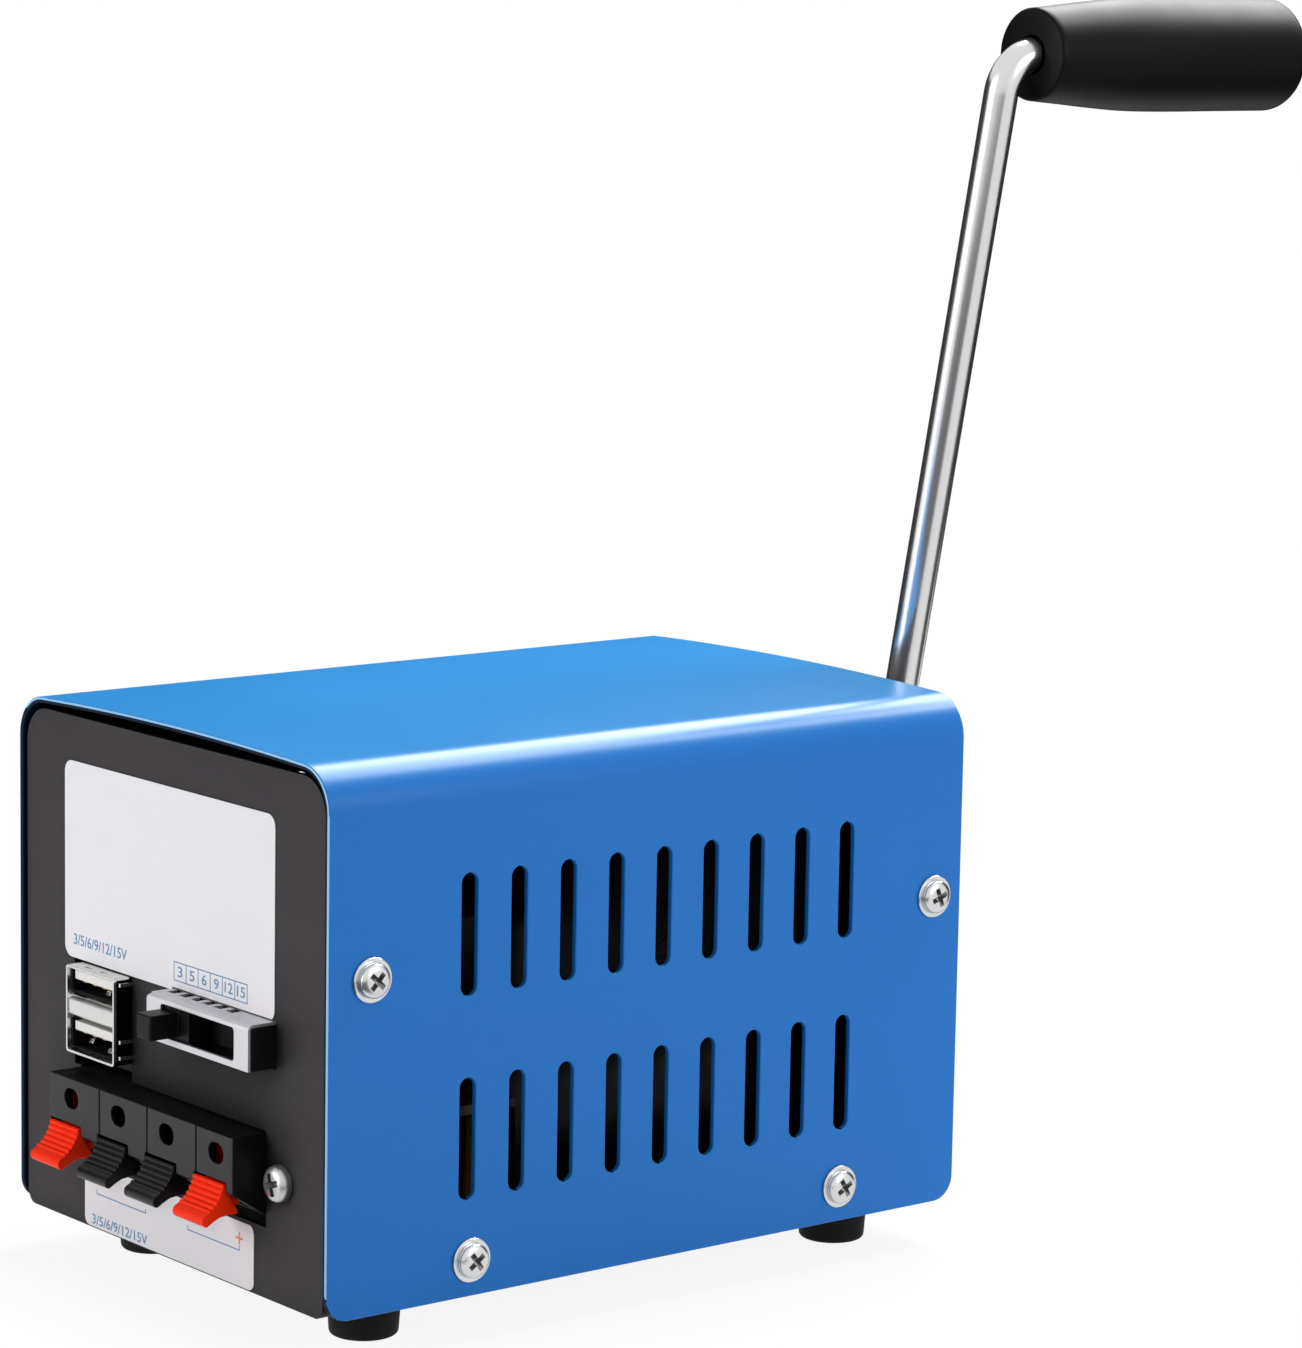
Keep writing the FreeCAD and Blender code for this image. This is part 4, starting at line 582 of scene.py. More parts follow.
def add_copy(mesh, master, place, turn=Matrix()):
    """A copy of a finished mesh, turned and moved."""
    first = len(mesh.verts)
    mesh.from_mesh(master)
    mesh.verts.ensure_lookup_table()
    bmesh.ops.transform(mesh, matrix=Matrix.Translation(place) @ turn.to_4x4(), verts=mesh.verts[first:])


def finish_piece(name, mesh, body, finish, edge=0.0, segments=2, smooth_below=SHARP_ANGLE, more=()):
    """Puts a mesh into the scene as a piece: frame place, shading, broken edges, finishes and body."""
    bmesh.ops.recalc_face_normals(mesh, faces=mesh.faces)
    for vert in mesh.verts:
        vert.co = (vert.co + Vector((0, CASE_Y, 0))) * MM
    data = bpy.data.meshes.new(name)
    mesh.to_mesh(data)
    mesh.free()
    piece = add_object(name, data)
    for material in (finish,) + more:
        data.materials.append(material)
    shade(piece, smooth_below)
    if edge:
        soften(piece, edge, segments)
    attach(piece, body)
    return piece


def shade(piece, smooth_below):
    """Smooth shading, with a crease wherever two faces meet at more than an angle."""
    piece.data.polygons.foreach_set("use_smooth", [True] * len(piece.data.polygons))
    piece.data.set_sharp_from_angle(angle=math.radians(smooth_below))


def soften(piece, edge, segments=2):
    """Breaks the sharp edges of a piece with a small bevel, whose width is in millimetres."""
    bevel = piece.modifiers.new("broken_edges", "BEVEL")
    bevel.width = edge * MM
    bevel.segments = segments
    bevel.limit_method = "ANGLE"
    bevel.angle_limit = math.radians(SHARP_ANGLE)
    bevel.use_clamp_overlap = False
    bevel.harden_normals = True
    bevel.miter_outer = "MITER_ARC"


def punch(mesh, cutters):
    """Cuts the solid of one mesh out of another and returns what is left."""
    blank = add_object("blank", bpy.data.meshes.new("blank"))
    tool = add_object("tool", bpy.data.meshes.new("tool"))
    for holder, source in ((blank, mesh), (tool, cutters)):
        bmesh.ops.recalc_face_normals(source, faces=source.faces)
        source.to_mesh(holder.data)
        source.free()
    cut = blank.modifiers.new("punch", "BOOLEAN")
    cut.operation = "DIFFERENCE"
    cut.solver = "EXACT"
    cut.use_self = True
    cut.object = tool
    bpy.context.view_layer.update()
    result = bmesh.new()
    result.from_mesh(blank.evaluated_get(bpy.context.evaluated_depsgraph_get()).to_mesh())
    for holder in (blank, tool):
        bpy.data.objects.remove(holder)
    return result


def second_finish(mesh, chosen):
    """Gives the second finish to the faces that a test of their normal and middle chooses."""
    for face in mesh.faces:
        face.material_index = int(chosen(face.normal, face.calc_center_median()))


# %% [markdown]
# ## The cover
# The cover is one sheet, 1 mm thick, bent down over both sides with a 7 mm radius. Its top is slightly
# domed, which stiffens it. It could be a bent plane with thickness added later, but drawing the
# closed cross-section and pulling it along the case gives the bend and the dome exactly. The
# slots and screw holes are then punched, and the edges broken as paint rounds them. At both ends of the
# sheet a lighter blue on the outer part of the cut edge, except on the left wall, is a painted highlight,
# and the rest of the cut edge and the inside of the sheet are navy, as painted shade.

# %% The cover
BEND_RADIUS = 7.0
SHOULDER = 84.4
CROWN = COVER_TOP - COVER_FOOT - SHOULDER
BEND_STEPS = 18
DOME_STEPS = 28
SLOT_COUNT = 9
SLOT_PITCH = 9.476
SLOT_FIRST = -37.4
SLOT_WIDTH = 3.0
SLOT_LENGTH = 19.1
SLOT_ROWS = (24.95, 56.85)
COVER_SCREWS = ((-55.6, 52.1), (57.5, 52.0), (-36.5, 5.8), (38.3, 5.9))
SCREW_HOLE = 1.65
CORNER = 4.0
PAINTED_HIGHLIGHT_WIDTH = 0.46
dome_radius = HALF_WIDTH ** 2 / (2 * CROWN) + CROWN / 2
dome_centre = COVER_TOP - dome_radius
bend_x = HALF_WIDTH - BEND_RADIUS
bend_z = dome_centre + math.sqrt((dome_radius - BEND_RADIUS) ** 2 - bend_x ** 2)
tangent = math.degrees(math.atan2(bend_z - dome_centre, bend_x))


def cover_skin(shrink):
    """The outline of one skin of the sheet, from the right foot over the top to the left foot."""
    half, bend = HALF_WIDTH - shrink, BEND_RADIUS - shrink
    right_bend = arc(bend_x, bend_z, bend, 0, tangent, BEND_STEPS)
    top = arc(0, dome_centre, dome_radius - shrink, tangent, 180 - tangent, DOME_STEPS)
    left_bend = arc(-bend_x, bend_z, bend, 180 - tangent, 180, BEND_STEPS)
    return [(half, COVER_FOOT)] + right_bend + top[1:-1] + left_bend + [(-half, COVER_FOOT)]


def skin_depth(x, z):
    """How far a point of the cross-section lies under the outer skin."""
    if z < bend_z:
        return HALF_WIDTH - abs(x)
    if abs(x) * (dome_radius - BEND_RADIUS) > bend_x * math.hypot(x, z - dome_centre):
        return BEND_RADIUS - math.hypot(abs(x) - bend_x, z - bend_z)
    return dome_radius - math.hypot(x, z - dome_centre)


def slot_outline(y, z):
    """An upright slot with round ends about its middle."""
    straight = (SLOT_LENGTH - SLOT_WIDTH) / 2
    radius = SLOT_WIDTH / 2
    return arc(y, z + straight, radius, 0, 180, 12) + arc(y, z - straight, radius, 180, 360, 12)


sheet = bmesh.new()
add_prism(sheet, cover_skin(0) + cover_skin(SHEET)[::-1], "y", -HALF_LENGTH, HALF_LENGTH)
punches = bmesh.new()
REACH = HALF_WIDTH + 5
for row in SLOT_ROWS:
    for index in range(SLOT_COUNT):
        slot = slot_outline(SLOT_FIRST + SLOT_PITCH * index, COVER_FOOT + row)
        add_prism(punches, slot, "x", -REACH, REACH)
for y, height in COVER_SCREWS:
    add_prism(punches, circle(y, COVER_FOOT + height, SCREW_HOLE, 24), "x", -REACH, REACH)
for side in (-1, 1):
    edge_y, centre_y = side * HALF_LENGTH, side * (HALF_LENGTH - CORNER)
    rounding = arc(centre_y, CORNER, CORNER, 270, 270 + side * 90, 12)
    outside = [(edge_y + side, CORNER), (edge_y + side, -1), (centre_y, -1)]
    add_prism(punches, above_foot(rounding + outside), "x", -REACH, REACH)
sheet = punch(sheet, punches)
rims = [face for face in sheet.faces if abs(face.normal.y) > 0.99 and face.calc_area() > SHEET * HALF_LENGTH]
# The inset splits each cut edge, so that its outer part can carry the painted highlight.
bmesh.ops.inset_region(sheet, faces=rims, thickness=PAINTED_HIGHLIGHT_WIDTH, use_even_offset=True)
cover = finish_piece("cover_sheet", sheet, "case", blue_enamel, 0.22, 3)
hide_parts("cover")
cover.data.materials.append(painted_edge_highlight)
cover.data.materials.append(navy_painted_shade)
# Painted highlight on the outer part of the cut edge, except on the left wall; navy painted shade on the rest
# of the cut edge and on the inner skin.
for face in cover.data.polygons:
    middle = face.center / MM
    rim = abs(face.normal.y) > 0.15 and abs(middle.y - CASE_Y) > HALF_LENGTH - CORNER - 0.1
    inward = face.normal.x * middle.x + face.normal.z * (middle.z - COVER_TOP / 2) < 0
    painted_highlight = rim and 0 < skin_depth(middle.x, middle.z) < PAINTED_HIGHLIGHT_WIDTH
    if painted_highlight and middle.x > -HALF_WIDTH + SHEET * 2:
        face.material_index = 1
    elif rim or (inward and abs(face.normal.y) < 0.3 and abs(middle.x) < HALF_WIDTH):
        face.material_index = 2
print("cover faces:", len(cover.data.polygons))

# %% [markdown]
# ## Screws and washers
# Each cover screw is an M3 pan head with a cross recess, on a flat washer. A disc with a cross drawn on it
# would not catch the light as the real one does: the head is a turned dome and the recess has walls
# that slope to a point, so it is cut out of the head. The inside of the recess gets a darker finish, as
# painted shade. One master screw is made and copied with its recess at a different angle each time,
# because nobody lines screws up.

# %% Screws and washers
RIM_SHARE, FLAT_SHARE, DOME_ARC_STEPS = 0.36, 0.5, 10
THREAD_PITCH, THREAD_TIP, THREAD_ROOT, THREAD_CREST = 0.5, 0.9, 1.22, 1.47


def plus_sign(reach, half):
    """The outline of a cross about the origin, as points that run round it."""
    quarter = [(half, -reach), (half, -half), (reach, -half)]
    return [(x * c - y * s, x * s + y * c) for c, s in ((1, 0), (0, 1), (-1, 0), (0, -1)) for x, y in quarter]


def make_screw(head_radius, head_height, length, reach):
    """A pan head screw along +Z whose head stands on z = 0, as a mesh to be copied."""
    rim = head_height * RIM_SHARE
    flat = head_radius * FLAT_SHARE
    swell = head_height - 0.04 - rim
    profile = [(0.0, head_radius - 0.08), (0.08, head_radius), (rim, head_radius)]
    for step in range(1, DOME_ARC_STEPS + 1):
        turn = math.pi / 2 * step / DOME_ARC_STEPS
        profile.append((rim + swell * math.sin(turn), flat + (head_radius - flat) * math.cos(turn)))
    profile.append((head_height, flat * 0.5))
    head = bmesh.new()
    add_turning(head, profile, (0, 0), "z", 48)
    cross = bmesh.new()
    floor = head_height * 0.2
    sizes = ((floor, 0.22, 0.16), (floor + 0.25, reach * 0.55, 0.28), (head_height, reach, reach * 0.27))
    sizes += ((head_height + 0.5, reach * 1.2, reach * 0.31),)
    add_rings(cross, [[Vector((x, y, z)) for x, y in plus_sign(r, half)] for z, r, half in sizes])
    screw = punch(head, cross)

    # Faces inside the recess take the second, darker finish, as painted shade.
    def in_recess(normal, middle):
        out = max(0.0, math.hypot(middle.x, middle.y) - flat) / (head_radius - flat)
        dome = rim + swell * math.sqrt(max(0.0, 1 - out ** 2))
        return middle.z > 0.05 and out < 0.8 and middle.z < dome - 0.05

    second_finish(screw, in_recess)
    thread = []
    for turn in range(int(length / THREAD_PITCH)):
        crest = -length + THREAD_PITCH * (turn + 0.5)
        thread += [(-length + THREAD_PITCH * turn, THREAD_ROOT), (crest, THREAD_CREST)]
    add_turning(screw, [(-length, THREAD_TIP)] + thread[1:] + [(0.02, THREAD_ROOT)], (0, 0), "z", 20)
    master = bpy.data.meshes.new("screw")
    screw.to_mesh(master)
    screw.free()
    return master


def screw_turn(direction, spin):
    """The rotation that points a screw's head in a direction and spins its cross by some degrees."""
    return direction.to_track_quat("Z", "Y").to_matrix() @ Matrix.Rotation(math.radians(spin), 3, "Z")


WASHER, WASHER_RADIUS, WASHER_HOLE = 0.5, 3.5, 1.6
SPINS = (38, 12, 27, 20)
pan_head = make_screw(head_radius=2.72, head_height=1.25, length=5.0, reach=1.65)
screws = bmesh.new()
washers = bmesh.new()
washer_profile = (
    (0.0, WASHER_HOLE), (0.0, WASHER_RADIUS - 0.08), (0.08, WASHER_RADIUS), (WASHER - 0.12, WASHER_RADIUS),
    (WASHER, WASHER_RADIUS - 0.12), (WASHER, WASHER_HOLE + 0.1), (WASHER - 0.08, WASHER_HOLE))
for side in (-1, 1):
    outward = Vector((side, 0, 0))
    for index, (y, height) in enumerate(COVER_SCREWS):
        seat = Vector((side * (HALF_WIDTH + WASHER), y, COVER_FOOT + height))
        add_copy(screws, pan_head, seat, screw_turn(outward, SPINS[index] + 9 * side))
        ring = [(side * (HALF_WIDTH + along), radius) for along, radius in washer_profile]
        add_turning(washers, ring, (y, seat.z), "x", 48, loop=True)
cover_screws = finish_piece(
    "cover_screws_cross_head", screws, "case", bright_zinc, smooth_below=40, more=(cover_recess_painted_shade,))
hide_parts("cover_screws")
cover_washers = finish_piece("cover_washers_flat", washers, "case", bright_zinc, smooth_below=40)
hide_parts("cover_washers")

terminal_low, terminal_high = case_box("terminal_screws")
BLOCK_HEAD = 3.0
block_screw = make_screw(head_radius=BLOCK_HEAD - 0.12, head_height=2.15, length=5.2, reach=1.85)
screws = bmesh.new()
for x, spin in ((terminal_low.x + BLOCK_HEAD, 50), (terminal_high.x - BLOCK_HEAD, 18)):
    seat = Vector((x, -PANEL_Y, (terminal_low.z + terminal_high.z) / 2))
    add_copy(screws, block_screw, seat, screw_turn(Vector((0, -1, 0)), spin))
terminal_screws = finish_piece(
    "terminal_screws_cross_head", screws, "case", dull_zinc, smooth_below=40, more=(terminal_recess_painted_shade,))
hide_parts("terminal_screws")
print("screws made:", 2 * len(COVER_SCREWS) + 2)

# %% [markdown]
# ## The terminal levers
# Each lever is moulded with a wedge-shaped finger tab. Its front runs down in a hollow curve of small round
# ribs, which stop the finger from sliding, and ends in a smooth lip. A narrower web carries the tab to the
# pivot, and a finger stands up beside the wire. Side outlines drawn out to their widths give the ribs
# their full shape, where a bump texture would leave the outline smooth.

# %% Terminal levers
PIVOT = (-64.6, 17.0)
TRUNNION_RADIUS = 1.0
RIB_HEIGHT = 0.24
RIB_SHARE = 0.72
RIB_STEPS = 8
TAB_CURVE = ((-69.2, 18.45), (-69.4, 17.6), (-69.7, 16.75), (-70.15, 16.0), (-70.7, 15.3), (-71.35, 14.7),
             (-72.1, 14.3))
TAB_END = [(-72.6, 14.08), (-72.92, 13.82), (-73.07, 13.5), (-73.1, 13.15), (-73.02, 12.75), (-72.85, 12.48),
           (-72.55, 12.3), (-72.2, 12.25), (-71.2, 12.85), (-70.0, 13.4), (-68.6, 13.6), (-66.8, 13.6),
           (-66.7, 14.1), (-67.7, 15.6), (-68.5, 17.2), (-68.75, 18.45)]
WEB = [(-68.9, 18.2), (-68.9, 14.0), (-67.0, 14.0), (-65.3, 15.1), (-63.4, 15.6), (-62.9, 16.6),
       (-62.9, 18.2)]
FINGER = [(-65.95, 17.5), (-62.9, 17.5), (-62.9, 23.8), (-65.95, 23.8)]
WEB_HALF_WIDTH = 3.0
TRUNNION_LENGTH = 0.4

tab_outline = []
for (y0, z0), (y1, z1) in zip(TAB_CURVE[:-1], TAB_CURVE[1:]):
    length = math.hypot(y1 - y0, z1 - z0)
    out_y, out_z = (z1 - z0) / length, -(y1 - y0) / length
    for step in range(RIB_STEPS):
        share = step / RIB_STEPS
        swell = math.sin(math.pi * min(share / RIB_SHARE, 1.0))
        rise = RIB_HEIGHT * swell ** 0.6 if share < RIB_SHARE else 0.0
        tab_outline.append((y0 + (y1 - y0) * share + out_y * rise, z0 + (z1 - z0) * share + out_z * rise))
tab_outline += [TAB_CURVE[-1]] + TAB_END
LEVERS = (("terminal_lever_1_red", "lever_red_left", "red_plastic", red_abs),
          ("terminal_lever_2_black", "lever_black_left", "lever_black", black_polished_abs),
          ("terminal_lever_3_black", "lever_black_right", "lever_black", black_polished_abs),
          ("terminal_lever_4_red", "lever_red_right", "red_plastic", red_abs))
for node, name, slot, finish in LEVERS:
    low, high = case_box(node)
    middle = (low.x + high.x) / 2
    lever = bmesh.new()
    parts = ((tab_outline, low.x + TRUNNION_LENGTH, high.x - TRUNNION_LENGTH),
             (WEB, middle - WEB_HALF_WIDTH, middle + WEB_HALF_WIDTH),
             (FINGER, middle - WEB_HALF_WIDTH, middle + 0.2))
    for outline, start, end in parts:
        add_prism(lever, above_foot(outline), "x", start, end)
    pin = [(low.x, 0.85), (low.x + 0.15, TRUNNION_RADIUS), (high.x - 0.15, TRUNNION_RADIUS), (high.x, 0.85)]
    add_turning(lever, pin, (PIVOT[0], COVER_FOOT + PIVOT[1]), "x", 32)
    piece = finish_piece(name, lever, node, finish, 0.12, 3, 50)
    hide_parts(node)
print("lever outline points:", len(tab_outline))

# %% [markdown]
# ## The terminal block
# The housing of the four terminals is one black moulding. Four pockets hold the levers, and a wide hole above
# each takes the wire. Fine grooves part the four cells. The front face keeps the spark eroded grain, and the
# other faces get a darker black, as painted shade. The pockets and holes are cut out of the block.

# %% The terminal housing
CELL_PITCH, FIRST_CELL = 13.8, -20.8
HOUSING_LEFT, HOUSING_RIGHT, HOUSING_TOP = -25.7, 26.8, 26.1
HOUSING_FACE = case_box("terminal_housing")[0].y
HOUSING_SECTION = ((HOUSING_FACE, HOUSING_TOP), (HOUSING_FACE, 17.3), (-68.4, 16.8), (-63.0, 13.2),
                   (-50.0, 13.2), (-50.0, HOUSING_TOP))
MOUTH = ((-70.0, 18.8), (-56.0, 18.8), (-56.0, 14.6), (-63.5, 14.6), (-66.6, 12.0), (-70.0, 12.0))
POCKET_HALF = 4.45
WIRE_HOLE, WIRE_HEIGHT = 1.6, COVER_FOOT + 22.9
BLOCK_FRONT = -70.0
GROOVE_AT, GROOVE_HALF, GROOVE_DEPTH = 10.0, 0.15, 0.25
EARS = ((-33.8, HOUSING_LEFT), (HOUSING_RIGHT, 35.0))
block = bmesh.new()
add_prism(block, above_foot(HOUSING_SECTION), "x", HOUSING_LEFT, HOUSING_RIGHT)
cuts = bmesh.new()
for index in range(len(LEVERS)):
    x = FIRST_CELL + CELL_PITCH * index
    add_prism(cuts, above_foot(MOUTH), "x", x - POCKET_HALF, x + POCKET_HALF)
    add_box(cuts, x - POCKET_HALF, x + POCKET_HALF, -68.0, -56.2, COVER_FOOT + 18.7, COVER_FOOT + 24.8)
    hole = arc(x + 2.1, WIRE_HEIGHT, WIRE_HOLE, -90, 90, 12)
    hole += arc(x + 1.2, WIRE_HEIGHT, WIRE_HOLE, 90, 270, 12)
    add_prism(cuts, hole, "y", BLOCK_FRONT, -67.0)
    if index < len(LEVERS) - 1:
        groove = x + GROOVE_AT
        add_box(cuts, groove - GROOVE_HALF, groove + GROOVE_HALF, BLOCK_FRONT, HOUSING_FACE + GROOVE_DEPTH,
                COVER_FOOT + 16, COVER_FOOT + 27)
block = punch(block, cuts)
for x0, x1 in EARS:
    add_box(block, x0, x1, -PANEL_Y + SHEET, -59.5, COVER_FOOT + 14.0, COVER_FOOT + 23.8)
bmesh.ops.recalc_face_normals(block, faces=block.faces)
# Faces that don't face front get the darker black, as painted shade on the housing's top, sides and pockets.
second_finish(block, lambda normal, middle: normal.y >= -0.7 or middle.y >= HOUSING_FACE + 0.1)
housing = finish_piece(
    "terminal_housing_moulded", block, "case", black_abs, 0.16, 3, more=(smooth_abs_and_painted_shade,))
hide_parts("terminal_housing")
print("terminal cells:", len(LEVERS))

# %% [markdown]
# ## The sockets' shell
# Two USB sockets share one shell of thin nickel plated steel. It stands 3 mm out of the panel. The rim is
# folded back, so it looks thicker than the sheet, a rounded divider parts the two mouths, and spring
# tongues are pressed out of the sides and the mouths. A plain tube would look like a piece of pipe. Only
# the two contact tongues are white nylon; the block behind them and a lining inside the mouths are black,
# as painted shade, and the shell's right side is a painted dark reflection.

# %% The sockets
usb_low, usb_high = case_box("usb_insert")
shell_low, shell_high = case_box("usb_shell")
SIDE_TAB = 0.3
USB_LEFT, USB_RIGHT = shell_low.x + SIDE_TAB, shell_high.x - SIDE_TAB
USB_FACE, USB_BACK = shell_low.y, shell_high.y
USB_LOW, USB_HIGH = shell_low.z, shell_high.z
WALL, RIM_WALL = 0.3, 0.42
FOLD_BACK = -52.0
DIVIDER = (COVER_FOOT + 35.0, COVER_FOOT + 38.7)
TONGUES = (COVER_FOOT + 32.7, COVER_FOOT + 41.0)
TONGUE_BACK, LINING_BACK = -51.9, -51.8


def add_frame(mesh, wall, radius, start, end):
    """A rectangular tube along Y with round corners, made as a ring of four-sided sections."""
    outer = rounded(USB_LEFT, USB_RIGHT, USB_LOW, USB_HIGH, radius)
    inner_radius = max(radius - wall, 0.15)
    inner = rounded(USB_LEFT + wall, USB_RIGHT - wall, USB_LOW + wall, USB_HIGH - wall, inner_radius)
    rings = []
    for (x0, z0), (x1, z1) in zip(outer, inner):
        section = ((x0, start, z0), (x1, start, z1), (x1, end, z1), (x0, end, z0))
        rings.append([Vector(corner) for corner in section])
    add_rings(mesh, rings, True)


shell = bmesh.new()
add_frame(shell, RIM_WALL, 0.6, USB_FACE, USB_FACE + 0.5)
add_frame(shell, WALL, 0.6, USB_FACE + 0.5, USB_BACK)
low, high = DIVIDER
bow_y, bow_low, bow_high = USB_FACE + 1.1, low + 0.9, high - 0.9
fold = arc(bow_y, bow_high, 0.9, 90, 180, 5) + arc(bow_y, bow_low, 0.9, 180, 270, 5)
fold += [(FOLD_BACK, low), (FOLD_BACK, low + WALL)]
fold += arc(bow_y, bow_low, 0.9 - WALL, 270, 180, 5) + arc(bow_y, bow_high, 0.9 - WALL, 180, 90, 5)
fold += [(FOLD_BACK, high - WALL), (FOLD_BACK, high)]
add_prism(shell, fold, "x", USB_LEFT + RIM_WALL, USB_RIGHT - WALL)
for z in (COVER_FOOT + 42.0, COVER_FOOT + 32.8, COVER_FOOT + 30.2):
    for x, side in ((USB_RIGHT - 0.05, 1), (USB_LEFT + 0.05, -1)):
        spring = [(x, USB_FACE + 0.9), (x + side * 0.3, USB_FACE + 1.1)]
        spring += [(x + side * 0.35, USB_FACE + 4.4), (x, USB_FACE + 4.6)]
        add_prism(shell, spring, "z", z, z + 0.6)
for x, z in ((-17.5, 39.9), (-13.0, 39.6), (-17.0, 30.6), (-12.6, 29.9), (-22.5, 31.2)):
    leaf = ((2.6, z - 0.5), (3.0, z + 0.25), (3.2, z + 0.2), (2.8, z - 0.55))
    add_prism(shell, above_foot((USB_FACE + depth, height) for depth, height in leaf), "x", x, x + 1.1)
cuts = bmesh.new()
for x in (USB_LEFT + 3.6, USB_LEFT + 8.2):
    add_box(cuts, x, x + 2.0, USB_FACE + 1.1, USB_FACE + 1.5, USB_HIGH - 0.6, USB_HIGH + 0.5)
shell = punch(shell, cuts)
# The shell's outer right side gets the dark finish: a painted dark reflection.
second_finish(shell, lambda normal, middle: (
    normal.x > 0.7 and abs(middle.x - USB_RIGHT) < 0.1 and middle.y > USB_FACE + 0.6))
usb_shell = finish_piece(
    "usb_shell_stamped", shell, "case", socket_nickel, 0.05, 2, more=(black_oxide_and_painted_shade,))
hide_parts("usb_shell")

tongues = bmesh.new()
for z in TONGUES:
    tongue = [(USB_FACE + 1.0, z + 0.2), (USB_FACE + 1.2, z), (TONGUE_BACK, z)]
    tongue += [(TONGUE_BACK, z + 1.55), (USB_FACE + 1.0, z + 1.55)]
    add_prism(tongues, tongue, "x", USB_LEFT + 1.2, USB_RIGHT - 1.0)
usb_tongues = finish_piece("usb_tongues_white", tongues, "case", white_nylon, 0.1)
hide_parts("usb_insert")
# The block behind the tongues and the lining walls inside the mouths are black, as painted shade.
block = bmesh.new()
add_box(block, usb_low.x, usb_high.x, -51.85, usb_high.y, usb_low.z, usb_high.z)
for z in (USB_LOW + 0.35, DIVIDER[0] - 0.35, DIVIDER[1] + 0.05, USB_HIGH - 0.65):
    add_box(block, USB_LEFT + 0.35, USB_RIGHT - 0.35, USB_FACE + 1.6, LINING_BACK, z, z + WALL)
for x in (USB_LEFT + 0.32, USB_RIGHT - 0.62):
    for z0, z1 in ((USB_LOW + 0.7, DIVIDER[0] - 0.4), (DIVIDER[1] + 0.4, USB_HIGH - 0.7)):
        add_box(block, x, x + WALL, USB_FACE + 0.9, LINING_BACK, z0, z1)
finish_piece("usb_lining_painted_shade", block, "case", socket_black_and_painted_shade, 0.08)
print("socket mouth in mm:", round(USB_RIGHT - USB_LEFT, 1), "by", round(USB_HIGH - USB_LOW, 1))

# %% [markdown]
# ## The selector's frame
# The slide switch sits in a frame of tinned steel sheet, bent over at the top. Its window lets the knob
# slide, and six small notches stand under the voltage figures. The section is drawn with its bend and
# pulled along, and the window and the notches are punched through.

# %% The selector frame
sel_low, sel_high = case_box("selector_frame")
SHEET_STEEL = 0.5
BEND = 0.9
NOTCH_FRONT, NOTCH_BACK = -65.1, -63.2
NOTCH_COUNT, NOTCH_FIRST, NOTCH_PITCH, NOTCH_HALF = 6, 2.3, 3.22, 1.0
FRAME_CORNER = 1.0
KNOB_WINDOW = (sel_low.x + 3.95, sel_high.x - 3.85, COVER_FOOT + 37.65, COVER_FOOT + 42.85)
face_y, top_z = sel_low.y, sel_high.z
section = arc(face_y + BEND, top_z - BEND, BEND, 180, 90, 8)
section += [(sel_high.y, top_z), (sel_high.y, top_z - SHEET_STEEL)]
section += arc(face_y + BEND, top_z - BEND, BEND - SHEET_STEEL, 90, 180, 8)
section += [(face_y + SHEET_STEEL, sel_low.z), (face_y, sel_low.z)]
frame_mesh = bmesh.new()
add_prism(frame_mesh, section, "x", sel_low.x, sel_high.x)
cuts = bmesh.new()
x0, x1, z0, z1 = KNOB_WINDOW
add_prism(cuts, rounded(x0, x1, z0, z1, 0.6), "y", face_y - 1, face_y + 2)
corner_x, corner_z = sel_low.x + FRAME_CORNER, top_z - FRAME_CORNER
corner = arc(corner_x, corner_z, FRAME_CORNER, 90, 180, 6)
corner += [(sel_low.x - 1, corner_z), (sel_low.x - 1, top_z + 1), (corner_x, top_z + 1)]
add_prism(cuts, corner, "y", face_y - 1, face_y + 0.95)
for index in range(NOTCH_COUNT):
    x = sel_low.x + NOTCH_FIRST + NOTCH_PITCH * index
    add_box(cuts, x - NOTCH_HALF, x + NOTCH_HALF, NOTCH_FRONT, NOTCH_BACK, top_z - 2, top_z + 1)
frame_mesh = punch(frame_mesh, cuts)
# The faces at the back of the notches get the dark finish, as painted shade in the notches.
second_finish(frame_mesh, lambda normal, middle: normal.y < -0.7 and abs(middle.y - NOTCH_BACK) < 0.1)
selector_frame = finish_piece(
    "selector_frame_bent", frame_mesh, "case", tinned_steel, 0.06, 2, more=(black_oxide_and_painted_shade,))
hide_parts("selector_frame")
floor_plate = bmesh.new()
plate_y, plate_z = face_y + SHEET_STEEL, sel_low.z + SHEET_STEEL
add_box(floor_plate, sel_low.x + 0.9, sel_high.x - 0.9, plate_y, sel_high.y, sel_low.z, plate_z)
finish_piece("selector_frame_floor", floor_plate, "case", black_oxide_and_painted_shade, 0.06, 2)
print("selector frame in mm:", round(sel_high.x - sel_low.x, 1), "by", round(sel_high.z - sel_low.z, 1))

# %% [markdown]
# ## The crank
# The crank is one drawn steel bar, 5.8 mm thick, with two bends. A bar keeps the fine lines of the
# drawing die along its length, and they bend with it. So every point of the mesh also stores where it
# was on the straight bar, and the finish reads its lines from there. The bar could be a curve with a
# bevel depth instead, but a curve can't store that.

# %% The crank bar
BAR_RADIUS = 2.9
BAR_BEND = 6.5
BAR_START = 69.0
BAR_END = 139.6
ARM_Y = 82.0
SHAFT_HEIGHT = 50.5
CRANK_LENGTH = 148.75
CRANK_LEAN = 11.48
axis_place = Vector((0, 0, SHAFT_HEIGHT))
lean = Matrix.Rotation(math.radians(CRANK_LEAN), 3, "Y")


def leaned(point):
    """A point of the upright crank, leaned over about the shaft."""
    return lean @ (point - axis_place) + axis_place


